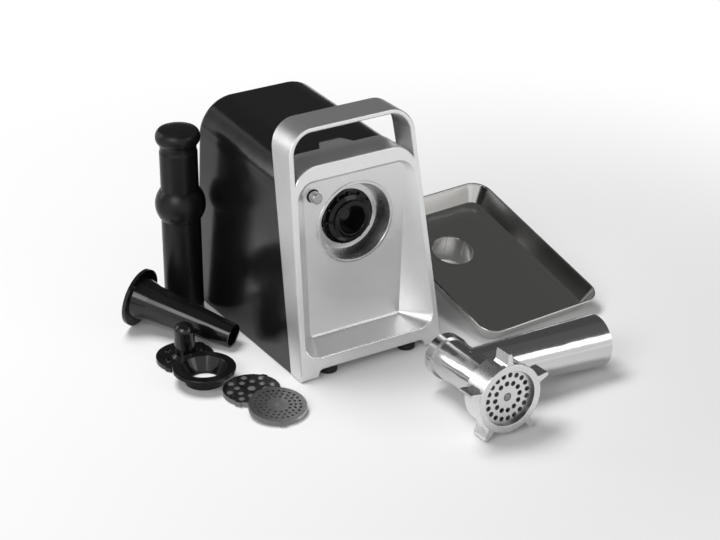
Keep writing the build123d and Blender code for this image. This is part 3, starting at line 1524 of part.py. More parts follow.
floor_drop = tray_depth - tray_sheet
with BuildPart() as tray_pan:
    loft([pan_face(tray_depth, 0, tray_floor_corner), pan_face(0, 0, tray_corner)], ruled=True)
    loft(
        [pan_face(floor_drop, tray_sheet, tray_floor_corner), pan_face(0, tray_sheet, tray_corner)],
        ruled=True, mode=Mode.SUBTRACT)
    with BuildSketch(tray_plane.offset(-tray_depth)) as tray_hole:
        with Locations((-tray_hole_left, tray_hole_far)):
            Circle(spout_radius)
    extrude(amount=tray_depth, mode=Mode.SUBTRACT)
    rim_line = pan_face(0, 0, tray_corner).wires()[0]
    with BuildSketch(Plane(origin=rim_line @ 0, z_dir=rim_line % 0)) as bead:
        Circle(tray_bead / 2)
    sweep(path=rim_line)
tray_pan.part.label = "tray_pan"
export_step(tray_pan.part, "parts/tray_pan.step")

with BuildPart() as tray_spout:
    with BuildSketch(tray_plane.offset(-floor_drop)) as spout_face:
        with Locations((-tray_hole_left, tray_hole_far)):
            Circle(spout_radius)
            Circle(spout_radius - spout_wall, mode=Mode.SUBTRACT)
    extrude(amount=-(spout_length + tray_sheet))
tray_spout.part.label = "tray_spout"
export_step(tray_spout.part, "parts/tray_spout.step")
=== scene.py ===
# %% [markdown]
# # An electric meat grinder and its accessories
# The motor unit, the grinding head, the tray, the pusher, the sausage tube, the two kebbe pieces and the
# spare plates come from the imported CAD model, which is loaded first and never moved. Blender adds what
# the solids cannot hold: the finish of each piece, with painted shade in a few of them, a few thin pieces
# (two bright edges with a painted highlight, a dark ring of painted shade and a lapped sheet end), a spring
# wound as a mesh, the light of a small product studio, and the camera. All lengths are metres, in the frame
# of the CAD model, so nothing has to be fitted by eye.

# %% Load the CAD frame
import json
from math import cos, pi, radians, sin

import bmesh
import bpy
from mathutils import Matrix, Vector


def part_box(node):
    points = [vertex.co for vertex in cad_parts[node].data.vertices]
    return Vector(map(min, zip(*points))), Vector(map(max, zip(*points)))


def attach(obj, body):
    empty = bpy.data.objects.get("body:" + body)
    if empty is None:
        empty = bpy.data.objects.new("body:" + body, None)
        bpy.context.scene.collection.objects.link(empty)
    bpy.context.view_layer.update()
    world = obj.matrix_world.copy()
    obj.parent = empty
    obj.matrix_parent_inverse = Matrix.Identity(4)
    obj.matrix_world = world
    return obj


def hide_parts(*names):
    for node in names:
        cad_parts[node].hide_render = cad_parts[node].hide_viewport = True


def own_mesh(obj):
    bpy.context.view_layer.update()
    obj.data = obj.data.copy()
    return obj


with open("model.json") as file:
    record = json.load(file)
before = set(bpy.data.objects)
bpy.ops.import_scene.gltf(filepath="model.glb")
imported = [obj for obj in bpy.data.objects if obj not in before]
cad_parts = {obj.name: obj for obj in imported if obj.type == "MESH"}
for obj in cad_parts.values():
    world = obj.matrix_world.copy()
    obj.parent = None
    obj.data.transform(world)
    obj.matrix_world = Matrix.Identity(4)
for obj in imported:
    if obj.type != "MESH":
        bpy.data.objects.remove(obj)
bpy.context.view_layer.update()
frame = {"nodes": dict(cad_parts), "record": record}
nodes = frame["nodes"]

# %% [markdown]
# ## Helpers for the finishes
# Each finish is a Principled shader whose colour, roughness and relief come from procedural fields. Images
# could carry them too, but would need unwrapped surfaces, and their grain is as coarse as their pixels. A
# field is measured in metres on the piece itself (Object coordinates), so a grain of 0.5 mm stays 0.5 mm on
# a large shell and on a small plate. What is the same all over a surface is set on the shader directly.

# %% Start a finish and place its texture
finishes = {}


def start_finish(name, metallic, **constants):
    finish = bpy.data.materials.new(name)
    finish.use_nodes = True
    shader = finish.node_tree.nodes["Principled BSDF"]
    shader.inputs["Metallic"].default_value = metallic
    for socket, value in constants.items():
        shader.inputs[socket.replace("_", " ")].default_value = value
    finishes[name] = finish
    return finish


def surface_points(finish, stretch=(1, 1, 1), turn=(0, 0, 0), centre=(0, 0, 0)):
    tree = finish.node_tree
    place = tree.nodes.new("ShaderNodeTexCoord")
    mapping = tree.nodes.new("ShaderNodeMapping")
    mapping.vector_type = "TEXTURE"
    mapping.inputs["Location"].default_value = centre
    mapping.inputs["Rotation"].default_value = [radians(angle) for angle in turn]
    mapping.inputs["Scale"].default_value = stretch
    tree.links.new(place.outputs["Object"], mapping.inputs["Vector"])
    return mapping.outputs["Vector"]


# %% Fields: cloudy grain and speckle
def grain(finish, points, size, detail=3.0):
    noise = finish.node_tree.nodes.new("ShaderNodeTexNoise")
    noise.inputs["Scale"].default_value = 1 / size
    noise.inputs["Detail"].default_value = detail
    finish.node_tree.links.new(points, noise.inputs["Vector"])
    return noise.outputs["Fac"]


def speckle(finish, points, size):
    cells = finish.node_tree.nodes.new("ShaderNodeTexVoronoi")
    cells.inputs["Scale"].default_value = 1 / size
    finish.node_tree.links.new(points, cells.inputs["Vector"])
    split = finish.node_tree.nodes.new("ShaderNodeSeparateColor")
    finish.node_tree.links.new(cells.outputs["Color"], split.inputs["Color"])
    return split.outputs["Red"]


# %% Fields: straight lines and rings
# At a scale of 1 the wave texture repeats after this length.
wave_period = pi / 10


def lines(finish, points, pitch, kind, way, waver=0.0):
    wave = finish.node_tree.nodes.new("ShaderNodeTexWave")
    wave.wave_type = kind
    if kind == "BANDS":
        wave.bands_direction = way
    else:
        wave.rings_direction = way
    wave.inputs["Scale"].default_value = wave_period / pitch
    wave.inputs["Distortion"].default_value = waver
    finish.node_tree.links.new(points, wave.inputs["Vector"])
    return wave.outputs["Fac"]


# %% What a field drives: colour
def grey(level):
    return (level, level, level)


def tint(finish, field, dark, light):
    tree = finish.node_tree
    mix = tree.nodes.new("ShaderNodeMix")
    mix.data_type = "RGBA"
    colours = [socket for socket in mix.inputs if socket.type == "RGBA"]
    colours[0].default_value = (*dark, 1)
    colours[1].default_value = (*light, 1)
    tree.links.new(field, mix.inputs["Factor"])
    result = [socket for socket in mix.outputs if socket.type == "RGBA"][0]
    tree.links.new(result, tree.nodes["Principled BSDF"].inputs["Base Color"])


# %% What a field drives: roughness and relief
# A noise field seldom leaves this range, so the roughness is spread over it.
field_low = 0.3
field_high = 0.7


def polish(finish, field, smooth, rough):
    tree = finish.node_tree
    spread = tree.nodes.new("ShaderNodeMapRange")
    spread.inputs["From Min"].default_value = field_low
    spread.inputs["From Max"].default_value = field_high
    spread.inputs["To Min"].default_value = smooth
    spread.inputs["To Max"].default_value = rough
    tree.links.new(field, spread.inputs["Value"])
    tree.links.new(spread.outputs["Result"], tree.nodes["Principled BSDF"].inputs["Roughness"])


def relief(finish, field, depth, strength=1.0, over=None):
    tree = finish.node_tree
    bump = tree.nodes.new("ShaderNodeBump")
    bump.inputs["Distance"].default_value = depth
    bump.inputs["Strength"].default_value = strength
    tree.links.new(field, bump.inputs["Height"])
    if over is not None:
        tree.links.new(over, bump.inputs["Normal"])
    tree.links.new(bump.outputs["Normal"], tree.nodes["Principled BSDF"].inputs["Normal"])
    return bump.outputs["Normal"]


# %% Put a finish on CAD pieces
def wear(finish_name, *names):
    for name in names:
        slots = nodes[name].data.materials
        slots.clear()
        slots.append(finishes[finish_name])
    print(finish_name, "on", ", ".join(names))


# %% [markdown]
# ## Silver paint of the front frame
# The frame with its strap handle and deep panel is moulded plastic under satin silver paint. Such paint is
# full of aluminium flakes, so it could be a grey plastic or a metal. A rough metal fits better: it is pale
# where it faces the bright table in front, and dark grey where the hood and the handle turn up to the dark
# side of the room. A speckle of a third of a millimetre stands for the flakes.

# %% Silver paint
paint_metallic = 0.92
paint = start_finish("silver_paint", paint_metallic, IOR=1.45, Coat_Weight=0.12, Coat_Roughness=0.35)
paint_points = surface_points(paint)
flakes = speckle(paint, paint_points, size=0.0003)
tint(paint, flakes, dark=(0.73, 0.73, 0.735), light=(0.82, 0.82, 0.825))
polish(paint, grain(paint, paint_points, size=0.012), smooth=0.36, rough=0.42)
relief(paint, flakes, depth=0.000012, strength=0.5)
wear("silver_paint", "front_frame")

# %% [markdown]
# ## Black mouldings
# The rear shell is smooth black plastic that mirrors the pusher beside it. The pusher and the base plate are
# a satin moulding with a fine spark-eroded grain. The sausage tube and the kebbe pieces are glossy, with the
# faint waves of a thin moulding. The drive coupler, deep in its port, is a blacker copy of the gloss black
# that
# shines less: its blacker colour is painted shade. One recipe serves them all, because only its numbers
# differ: a nearly black colour, a cloud for the roughness, and two very shallow reliefs.


# %% A black moulding recipe
def black_moulding(name, shade, smooth, rough, grain_size, grain_depth, wave_depth, **constants):
    finish = start_finish(name, metallic=0.0, **constants)
    points = surface_points(finish)
    fine = grain(finish, points, grain_size, detail=2.0)
    cloud = grain(finish, points, size=0.03, detail=2.0)
    tint(finish, cloud, dark=grey(shade), light=(shade * 1.35, shade * 1.35, shade * 1.38))
    polish(finish, cloud, smooth, rough)
    waves = relief(finish, cloud, wave_depth)
    relief(finish, fine, grain_depth, strength=0.6, over=waves)


# %% Five black finishes on their pieces
black_moulding("shell_black", shade=0.0055, smooth=0.15, rough=0.21, grain_size=0.0009,
               grain_depth=0.000006, wave_depth=0.00012, Specular_IOR_Level=0.42)
black_moulding("satin_black", shade=0.006, smooth=0.30, rough=0.38, grain_size=0.0006,
               grain_depth=0.00002, wave_depth=0.0001, Specular_IOR_Level=0.3)
black_moulding("gloss_black", shade=0.006, smooth=0.10, rough=0.17, grain_size=0.0012,
               grain_depth=0.000004, wave_depth=0.00015)
# The coupler's blacker colour is painted shade for its place deep in the port.
black_moulding("coupler_black_painted_shade", shade=0.004, smooth=0.12, rough=0.18, grain_size=0.0012,
               grain_depth=0.000004, wave_depth=0.00005, Specular_IOR_Level=0.28)
black_moulding("switch_black", shade=0.012, smooth=0.24, rough=0.30, grain_size=0.0005,
               grain_depth=0.00001, wave_depth=0.00005)
wear("shell_black", "rear_shell")
wear("satin_black", "pusher_body", "pusher_cap", "base_plate")
wear("gloss_black", "sausage_tube", "kebbe_ring", "kebbe_cone")
wear("coupler_black_painted_shade", "drive_coupler")
wear("switch_black", "switch_body", "power_rocker")

# %% [markdown]
# ## Rubber feet and grommet
# Soft rubber has no clear reflection. It could be the satin black of the pusher, but that would shine at the
# rims of the feet. So its roughness is high, and a coarse grain breaks the surface up.

# %% Rubber
rubber = start_finish("foot_rubber", metallic=0.0, Specular_IOR_Level=0.3)
rubber_points = surface_points(rubber)
rubber_grain = grain(rubber, rubber_points, size=0.0012)
tint(rubber, rubber_grain, dark=grey(0.012), light=grey(0.024))
polish(rubber, rubber_grain, smooth=0.68, rough=0.82)
relief(rubber, rubber_grain, depth=0.00008)
wear("foot_rubber", "rubber_feet", "cord_grommet")

# %% [markdown]
# ## Turned aluminium: the locking collar and the release button
# Both are turned on a lathe, and the tool leaves rings round their axis. Modelled grooves would be finer than
# a pixel, so a ring texture stands for them. It is centred on each piece, because the collar lies round the
# drive axis and the button round its own, and its pitch is the tool's feed.


# %% A turned finish round an axis along Y
def turned_metal(name, shade, smooth, rough, centre, pitch):
    finish = start_finish(name, metallic=1.0)
    points = surface_points(finish, centre=centre)
    rings = lines(finish, points, pitch, kind="RINGS", way="Y")
    cloud = grain(finish, points, size=0.02)
    tint(finish, rings, dark=(shade, shade, shade * 1.005), light=(shade * 1.08, shade * 1.08, shade * 1.085))
    polish(finish, cloud, smooth, rough)
    relief(finish, rings, depth=0.000002, strength=0.3)


def middle(name):
    low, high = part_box(name)
    return (Vector(low) + Vector(high)) / 2


turned_metal("collar_metal", shade=0.66, smooth=0.24, rough=0.28,
             centre=middle("locking_collar"), pitch=0.0005)
turned_metal("button_metal", shade=0.40, smooth=0.16, rough=0.20,
             centre=middle("lock_button"), pitch=0.0004)
wear("collar_metal", "locking_collar")
wear("button_metal", "lock_button")

# %% [markdown]
# ## Polished castings: the head and its ring nut
# The head is cast aluminium, polished by hand on a wheel. The wheel leaves long shallow waves that bend the
# reflections, fine scratches, and a few pits of the casting. A perfect mirror would look like glass, so all
# three are fields in the finish. The ring nut is brushed, with weaker waves. The feed screw is cast too, but
# only tumbled, so it is greyer and rougher.


# %% A polished casting
def casting(name, shade, smooth, rough, wave_depth, pit_depth):
    finish = start_finish(name, metallic=1.0)
    points = surface_points(finish)
    along_wheel = surface_points(finish, stretch=(0.004, 0.0003, 0.004), turn=(0, 0, 30))
    waves = grain(finish, points, size=0.022, detail=1.0)
    scratches = grain(finish, along_wheel, size=1.0, detail=2.0)
    pits = grain(finish, points, size=0.0011, detail=4.0)
    tint(finish, waves, dark=(shade * 0.95, shade * 0.95, shade * 0.955), light=(shade, shade, shade * 1.01))
    polish(finish, scratches, smooth, rough)
    under = relief(finish, waves, wave_depth)
    relief(finish, pits, pit_depth, strength=0.6, over=under)


casting("polished_casting", shade=0.68, smooth=0.11, rough=0.20, wave_depth=0.0005, pit_depth=0.000012)
casting("satin_casting", shade=0.76, smooth=0.22, rough=0.32, wave_depth=0.0002, pit_depth=0.00002)
casting("tumbled_casting", shade=0.30, smooth=0.38, rough=0.50, wave_depth=0.0002, pit_depth=0.00005)
wear("polished_casting", "head_casting")
wear("satin_casting", "ring_nut")
wear("tumbled_casting", "feed_screw")

# %% [markdown]
# ## Painted shade in the bore of the ring nut
# The ring nut is turned and brushed outside. Its bore, which shows as a dark sickle beside the plate, gets
# painted shade. The faces of the bore could get a material of their own, but the CAD piece is one mesh. So a
# mask finds the bore by the distance from the nut's own axis, which the model's joint gives, and darkens the
# metal inside the radius of the opening.


# %% Distance from the ring nut's axis
def joint_named(name):
    return next(joint for joint in frame["record"]["behaviour"]["joints"] if joint["name"] == name)


def vector_step(tree, operation, source, other=None):
    step = tree.nodes.new("ShaderNodeVectorMath")
    step.operation = operation
    tree.links.new(source, step.inputs[0])
    if other is not None:
        step.inputs[1].default_value = other
    return step


nut_joint = joint_named("nut_turn")
nut_tree = finishes["satin_casting"].node_tree
nut_place = nut_tree.nodes.new("ShaderNodeTexCoord")
from_axis = vector_step(nut_tree, "SUBTRACT", nut_place.outputs["Object"], nut_joint["pos_m"])
across_axis = vector_step(nut_tree, "CROSS_PRODUCT", from_axis.outputs["Vector"], nut_joint["axis"])
axis_distance = vector_step(nut_tree, "LENGTH", across_axis.outputs["Vector"])
print("ring nut axis through", nut_joint["pos_m"])

# %% Painted shade: darken the metal inside the opening
bore_radius = 0.0263
bore_edge = 0.0004
bore_painted_shade = 0.14
outside = nut_tree.nodes.new("ShaderNodeMapRange")
outside.inputs["From Min"].default_value = bore_radius
outside.inputs["From Max"].default_value = bore_radius + bore_edge
outside.inputs["To Min"].default_value = bore_painted_shade
outside.inputs["To Max"].default_value = 1.0
nut_tree.links.new(axis_distance.outputs["Value"], outside.inputs["Value"])
nut_colour = nut_tree.nodes["Principled BSDF"].inputs["Base Color"]
shaded_nut_colour = vector_step(nut_tree, "SCALE", nut_colour.links[0].from_socket)
nut_tree.links.new(outside.outputs["Result"], shaded_nut_colour.inputs["Scale"])
nut_tree.links.new(shaded_nut_colour.outputs["Vector"], nut_colour)
print("ring nut dark inside", bore_radius, "m")

# %% [markdown]
# ## Ground steel: grinding plates, blade and the sheet tray
# A surface grinder leaves straight lines along one direction. The field is a noise that is stretched to
# many times its width along the lines. An even wave would look printed. The three plates differ in shade:
# the one in the head is bright, the fine one is a dull grey, and the coarse one is smoother, so that it
# mirrors the black housing behind it. The tray's sheet has the same kind of lines along its length, much
# finer, because it is rolled. The blade and the output shaft get a nearly black steel, which is painted
# shade: it keeps the holes and the coupler's bore dark.


# %% Metal with straight grinding lines
def ground_metal(name, dark, light, smooth, rough, turn, width, run, depth):
    finish = start_finish(name, metallic=1.0)
    along_lines = surface_points(finish, stretch=(width, run, width), turn=turn)
    streaks = grain(finish, along_lines, size=1.0, detail=2.0)
    cloud = grain(finish, surface_points(finish), size=0.02, detail=2.0)
    tint(finish, streaks, dark, light)
    polish(finish, cloud, smooth, rough)
    relief(finish, streaks, depth, strength=0.7)


# %% Steel of the three plates
ground_metal("plate_bright", grey(0.68), grey(0.78), smooth=0.30, rough=0.38,
             turn=(90, 0, 0), width=0.0004, run=0.02, depth=0.00002)
ground_metal("plate_grey", grey(0.46), grey(0.54), smooth=0.38, rough=0.44,
             turn=(0, 0, 25), width=0.0004, run=0.02, depth=0.000004)
ground_metal("plate_dark", grey(0.50), grey(0.58), smooth=0.24, rough=0.30,
             turn=(0, 0, 70), width=0.0004, run=0.02, depth=0.000004)
wear("plate_bright", "medium_plate")
wear("plate_grey", "fine_plate")
wear("plate_dark", "coarse_plate")

# %% Steel of the tray, the blade, the screws and the shafts
tray_turn = 3.8
ground_metal("tray_sheet", (0.64, 0.635, 0.62), (0.68, 0.675, 0.66), smooth=0.18, rough=0.20,
             turn=(0, 0, tray_turn), width=0.0005, run=0.06, depth=0.0000006)
# Nearly black steel for the blade and the output shaft: painted shade that keeps the holes and the bore dark.
ground_metal("dark_steel_painted_shade", (0.045, 0.044, 0.043), (0.08, 0.079, 0.077), smooth=0.34, rough=0.44,
             turn=(0, 0, 0), width=0.0003, run=0.01, depth=0.00001)
ground_metal("bright_steel", (0.52, 0.52, 0.525), (0.62, 0.62, 0.625), smooth=0.22, rough=0.32,
             turn=(0, 0, 0), width=0.0003, run=0.01, depth=0.00001)
wear("tray_sheet", "tray_pan", "tray_spout")
wear("dark_steel_painted_shade", "cutting_blade", "output_shaft")
wear("bright_steel", "base_screws", "cover_screws", "motor_bolts", "motor_bracket", "motor_shaft",
     "intermediate_pinion", "lock_latch", "lock_spring")

# %% [markdown]
# ## Inside the motor unit
# The gear train and the motor lie behind the drive port and the vents, and show when the model is taken
# apart. The gears are pale nylon, the gearbox is grey filled plastic, the motor's core is a stack of half
# millimetre sheets, and its windings are copper wire laid side by side. Sheets and wires could be modelled
# one by one, at a great cost in faces. Bands of colour and relief at their true pitch give the same look.


# %% Moulded inner plastics
def plain_moulding(name, dark, light, smooth, rough, grain_size, depth):
    finish = start_finish(name, metallic=0.0)
    points = surface_points(finish)
    cloud = grain(finish, points, grain_size)
    tint(finish, cloud, dark, light)
    polish(finish, cloud, smooth, rough)
    relief(finish, cloud, depth)


plain_moulding("nylon", (0.70, 0.69, 0.63), (0.80, 0.79, 0.74), smooth=0.38, rough=0.50,
               grain_size=0.004, depth=0.00003)
plain_moulding("filled_plastic", (0.12, 0.12, 0.125), (0.19, 0.19, 0.20), smooth=0.48, rough=0.60,
               grain_size=0.0015, depth=0.00004)
plain_moulding("graphite", (0.035, 0.035, 0.036), (0.075, 0.075, 0.078), smooth=0.50, rough=0.66,
               grain_size=0.0006, depth=0.00004)
wear("nylon", "intermediate_gear", "output_gear", "cooling_fan")
wear("filled_plastic", "gearbox_housing", "gearbox_cover", "latch_guide", "screw_bush")
wear("graphite", "carbon_brushes")


# %% Sheet stacks, windings and bearing bronze
def banded_metal(name, dark, light, smooth, rough, pitch, depth, way):
    finish = start_finish(name, metallic=1.0)
    points = surface_points(finish)
    bands = lines(finish, points, pitch, kind="BANDS", way=way, waver=0.4)
    tint(finish, bands, dark, light)
    polish(finish, grain(finish, points, size=0.004), smooth, rough)
    relief(finish, bands, depth)


banded_metal("sheet_stack", (0.16, 0.16, 0.17), (0.34, 0.34, 0.36), smooth=0.40, rough=0.52,
             pitch=0.0005, depth=0.00006, way="Y")
banded_metal("copper_wire", (0.36, 0.13, 0.06), (0.72, 0.34, 0.19), smooth=0.24, rough=0.34,
             pitch=0.0007, depth=0.0002, way="Z")
banded_metal("bearing_bronze", (0.42, 0.30, 0.15), (0.52, 0.38, 0.20), smooth=0.34, rough=0.46,
             pitch=0.0004, depth=0.00002, way="Y")
wear("sheet_stack", "motor_stator", "armature_core")
wear("copper_wire", "field_coils", "armature_windings", "commutator")
wear("bearing_bronze", "front_bearing", "rear_bearing", "output_bearing", "brush_holders")

# %% [markdown]
# ## Bright edges of the recess
# Two edges of the recess catch the light as thin bright lines: a small chamfer along the foot of the panel,
# and the rounded lip where the recess's floor meets the rail. A bevel on the CAD mesh would change a piece
# that has to stay as it is, so both are thin pieces laid over the edge. Their paint is smoother than
# elsewhere, so they mirror the light in front of the unit. It is also a lighter copy of the silver paint,
# which is a painted highlight on top of the light they catch. The chamfer is a slim wedge. The lip is a curve
# with a round section that follows the bottom of the opening and turns up at both corners.

# %% Smooth, lighter paint of the two edges: the lighter tint is a painted highlight
edge_paint_painted_highlight = start_finish("edge_paint_painted_highlight", paint_metallic)
edge_points = surface_points(edge_paint_painted_highlight)
edge_cloud = grain(edge_paint_painted_highlight, edge_points, size=0.004)
tint(edge_paint_painted_highlight, edge_cloud, dark=grey(0.90), light=grey(0.95))
polish(edge_paint_painted_highlight, edge_cloud, smooth=0.24, rough=0.29)
relief(edge_paint_painted_highlight, edge_cloud, depth=0.000002)
print("edge paint made")

# %% Section of the chamfer along the foot of the panel
panel_y = 0.01154
panel_foot = 0.026
chamfer_height = 0.002
chamfer_depth = 0.00093
chamfer_left = -0.0835
chamfer_right = 0.0133
sunk = 0.0003
top = (panel_y, panel_foot + chamfer_height)
front = (panel_y - chamfer_depth, panel_foot - sunk)
back = (panel_y + sunk, panel_foot - sunk)
print("panel chamfer", chamfer_height, "m high")


# %% The chamfer: a wedge with three corners at each end
def in_scene(name, data):
    piece = bpy.data.objects.new(name, data)
    bpy.context.collection.objects.link(piece)
    return piece


places = [(x, y, z) for x in (chamfer_left, chamfer_right) for y, z in (top, front, back)]
left_end = (2, 1, 0)
right_end = (3, 4, 5)
long_sides = [(0, 1, 4, 3), (1, 2, 5, 4), (2, 0, 3, 5)]
chamfer_mesh = bpy.data.meshes.new("panel_chamfer")
chamfer_mesh.from_pydata(places, [], [left_end, right_end, *long_sides])
chamfer_mesh.materials.append(edge_paint_painted_highlight)
panel_chamfer = in_scene("panel_chamfer", chamfer_mesh)
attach(panel_chamfer, "motor_unit")
print("panel chamfer of", len(chamfer_mesh.polygons), "faces")


# %% A round wire along a path, and the angles of an arc
def round_wire(name, path, thickness):
    curve = bpy.data.curves.new(name, "CURVE")
    curve.dimensions = "3D"
    curve.bevel_depth = thickness / 2
    curve.bevel_resolution = 3
    curve.use_fill_caps = True
    run = curve.splines.new("POLY")
    run.points.add(len(path) - 1)
    for point, place in zip(run.points, path):
        point.co = (*place, 1)
    return in_scene(name, curve)


def arc_angles(first, last, steps):
    return [radians(first + (last - first) * step / steps) for step in range(steps + 1)]


# %% The lip: two corner arcs and the straight run between them, in the leaning front face
lip_lean = radians(9.47)
lip_y = -0.01859
lip_z = 0.02011
lip_left = -0.09174
lip_right = 0.02152
lip_corner = 0.015
lip_thickness = 0.0024
corner_turn = 75
corner_steps = 10
straight_down = 270
path = []
for x, first in ((lip_left, straight_down - corner_turn), (lip_right, straight_down)):
    for angle in arc_angles(first, first + corner_turn, corner_steps):
        rise = lip_corner * (1 + sin(angle))
        y = lip_y + rise * sin(lip_lean)
        z = lip_z + rise * cos(lip_lean)
        path.append((x + lip_corner * cos(angle), y, z))
recess_lip = round_wire("recess_lip", path, lip_thickness)
recess_lip.data.materials.append(edge_paint_painted_highlight)
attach(recess_lip, "motor_unit")
print("recess lip of", len(path), "points")

# %% [markdown]
# ## Painted shade round the release button
# A thin dark ring in the rubber finish lies round the gap between the button and its hole. It is painted
# shade: a dark line round the button's foot. A dark ring in the paint would have no height, so it is a wire
# laid round the hole. It stays in the panel when the button is pressed.

# %% The dark ring round the button: painted shade
button_radius = 0.0055
shade_ring_gap = 0.00015
shade_ring_thickness = 0.001
shade_ring_steps = 48
shade_ring_radius = button_radius + shade_ring_gap + shade_ring_thickness / 2
button_middle = middle("lock_button")
path = []
for angle in arc_angles(0, 360, shade_ring_steps):
    x = button_middle.x + shade_ring_radius * cos(angle)
    z = button_middle.z + shade_ring_radius * sin(angle)
    path.append((x, panel_y, z))
button_shade_ring = round_wire("button_shade_ring", path, shade_ring_thickness)
button_shade_ring.data.materials.append(finishes["foot_rubber"])
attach(button_shade_ring, "motor_unit")
print("button shade ring radius", round(shade_ring_radius, 5))

# %% [markdown]
# ## Return spring behind the release button
# A coil of spring wire pushes the button out again. A solid cannot shorten, so the CAD spring would keep its
# full length while the latch is pressed into it. The same coil is wound here as a mesh, in the CAD spring's
# own box, in place of the hidden CAD spring, and gets a mesh of its own.

# %% The coil's path
coil_turns = 5
steps_per_turn = 24
coil_wire = 0.001
coil_low, coil_high = [Vector(corner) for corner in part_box("lock_spring")]
coil_middle = middle("lock_spring")
coil_radius = (coil_high.x - coil_low.x - coil_wire) / 2
coil_rise = coil_high.y - coil_low.y - coil_wire
path = []
for angle in arc_angles(0, 360 * coil_turns, steps_per_turn * coil_turns):
    x = coil_middle.x + coil_radius * cos(angle)
    y = coil_low.y + coil_wire / 2 + coil_rise * angle / (2 * pi * coil_turns)
    z = coil_middle.z + coil_radius * sin(angle)
    path.append((x, y, z))
print("coil radius", round(coil_radius, 5), "rise", round(coil_rise, 5))

# %% The coil as a mesh
coil_curve = round_wire("coil_path", path, coil_wire)
coil_mesh = bpy.data.meshes.new_from_object(coil_curve)
bpy.data.objects.remove(coil_curve)
coil_mesh.polygons.foreach_set("use_smooth", [True] * len(coil_mesh.polygons))
coil_mesh.materials.append(finishes["bright_steel"])
return_coil = in_scene("return_coil", coil_mesh)
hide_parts("lock_spring")
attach(return_coil, "motor_unit")
print("return coil of", len(coil_mesh.polygons), "faces")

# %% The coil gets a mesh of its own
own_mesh(return_coil)

# %% [markdown]
# ## Lap joint inside the tray's spout
# The spout is a strip of the same sheet, rolled into a ring and lapped where its ends meet. Seen from above,
# the inner end shows as a step with a dark edge. A painted line would not cast that edge, so it is a thin
# curved plate against the spout's wall, made in the tray's own tilted plane.

# %% The tray's own plane
yaw = radians(tray_turn)
tilt = radians(15.6)
tray_origin = Vector((0.13989, 0.04644, 0.0428))
tray_right = Vector((cos(yaw), sin(yaw), 0))
tray_far = Vector((-sin(yaw) * cos(tilt), cos(yaw) * cos(tilt), sin(tilt)))
tray_up = tray_right.cross(tray_far)
spout_right = -0.0107
spout_far = 0.0343
spout_middle = tray_origin + tray_right * spout_right + tray_far * spout_far
print("spout middle", [round(v, 4) for v in spout_middle])

# %% Corners of the lapped sheet end, ring by ring
lap_outer = 0.02212
lap_inner = 0.0215
lap_top = 0.0174
lap_notch = 0.0195
lap_bottom = 0.036
notch_rings = 2
lap = bmesh.new()
rings = []
for step, angle in enumerate(arc_angles(20, 68, 16)):
    out = tray_right * cos(angle) + tray_far * sin(angle)
    upper = lap_notch if step < notch_rings else lap_top
    corners = ((lap_outer, upper), (lap_inner, upper), (lap_inner, lap_bottom), (lap_outer, lap_bottom))
    rings.append([lap.verts.new(spout_middle + out * reach - tray_up * drop) for reach, drop in corners])
print("spout lap of", len(rings), "rings")

# %% Faces of the lapped sheet end
for near, far in zip(rings, rings[1:]):
    for side in range(4):
        after = (side + 1) % 4
        lap.faces.new((near[side], near[after], far[after], far[side]))
lap.faces.new(rings[0][::-1])
lap.faces.new(rings[-1])
bmesh.ops.recalc_face_normals(lap, faces=lap.faces)
lap_mesh = bpy.data.meshes.new("spout_lap")
lap.to_mesh(lap_mesh)
lap.free()
lap_mesh.materials.append(finishes["tray_sheet"])
spout_lap = in_scene("spout_lap", lap_mesh)
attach(spout_lap, "tray")
print("spout lap of", len(lap_mesh.polygons), "faces")

# %% [markdown]
# ## The table and the room
# The photograph stands on white, with soft grey shadows close round each piece. A glowing white floor would
# show no shadows, and a lit sheet alone would grow grey far from the lamps. So the floor is a pale matt sheet
# that turns, between 0.3 and 0.8 m from the middle, into an even white for the camera and for mirrors. No
# edge of the sheet shows, and the rays that light the object never see that white.

# %% Pale floor
table_radius = 9.0
table_sink = 0.0002
table_shade = 0.78
bpy.ops.mesh.primitive_circle_add(vertices=96, radius=table_radius, fill_type="NGON",
                                  location=(0, 0, -table_sink))
table = bpy.context.object
table.name = "pale_table"
table_finish = bpy.data.materials.new("pale_table")
table_finish.use_nodes = True
table_tree = table_finish.node_tree
table_tree.nodes.clear()
matt = table_tree.nodes.new("ShaderNodeBsdfDiffuse")
matt.inputs["Color"].default_value = (*grey(table_shade), 1)
white = table_tree.nodes.new("ShaderNodeEmission")
white.inputs["Strength"].default_value = 1.0
print("table radius", table_radius, "m")

# %% The share of white grows with the distance from the middle
white_from = 0.30
white_to = 0.80
least_white = 0.05
table_place = table_tree.nodes.new("ShaderNodeTexCoord")
reach = vector_step(table_tree, "LENGTH", table_place.outputs["Object"])
fade = table_tree.nodes.new("ShaderNodeMapRange")
fade.interpolation_type = "SMOOTHSTEP"
fade.inputs["From Min"].default_value = white_from
fade.inputs["From Max"].default_value = white_to
fade.inputs["To Min"].default_value = least_white
fade.inputs["To Max"].default_value = 1.0
table_tree.links.new(reach.outputs["Value"], fade.inputs["Value"])
print("table white from", white_to, "m")


# %% Only the camera and mirrors see the white
def math_step(tree, operation, first, second):
    step = tree.nodes.new("ShaderNodeMath")
    step.operation = operation
    tree.links.new(first, step.inputs[0])
    tree.links.new(second, step.inputs[1])
    return step.outputs[0]


def seen_directly(tree):
    rays = tree.nodes.new("ShaderNodeLightPath").outputs
    either = math_step(tree, "MAXIMUM", rays["Is Camera Ray"], rays["Is Glossy Ray"])
    return math_step(tree, "MAXIMUM", either, rays["Is Transmission Ray"])


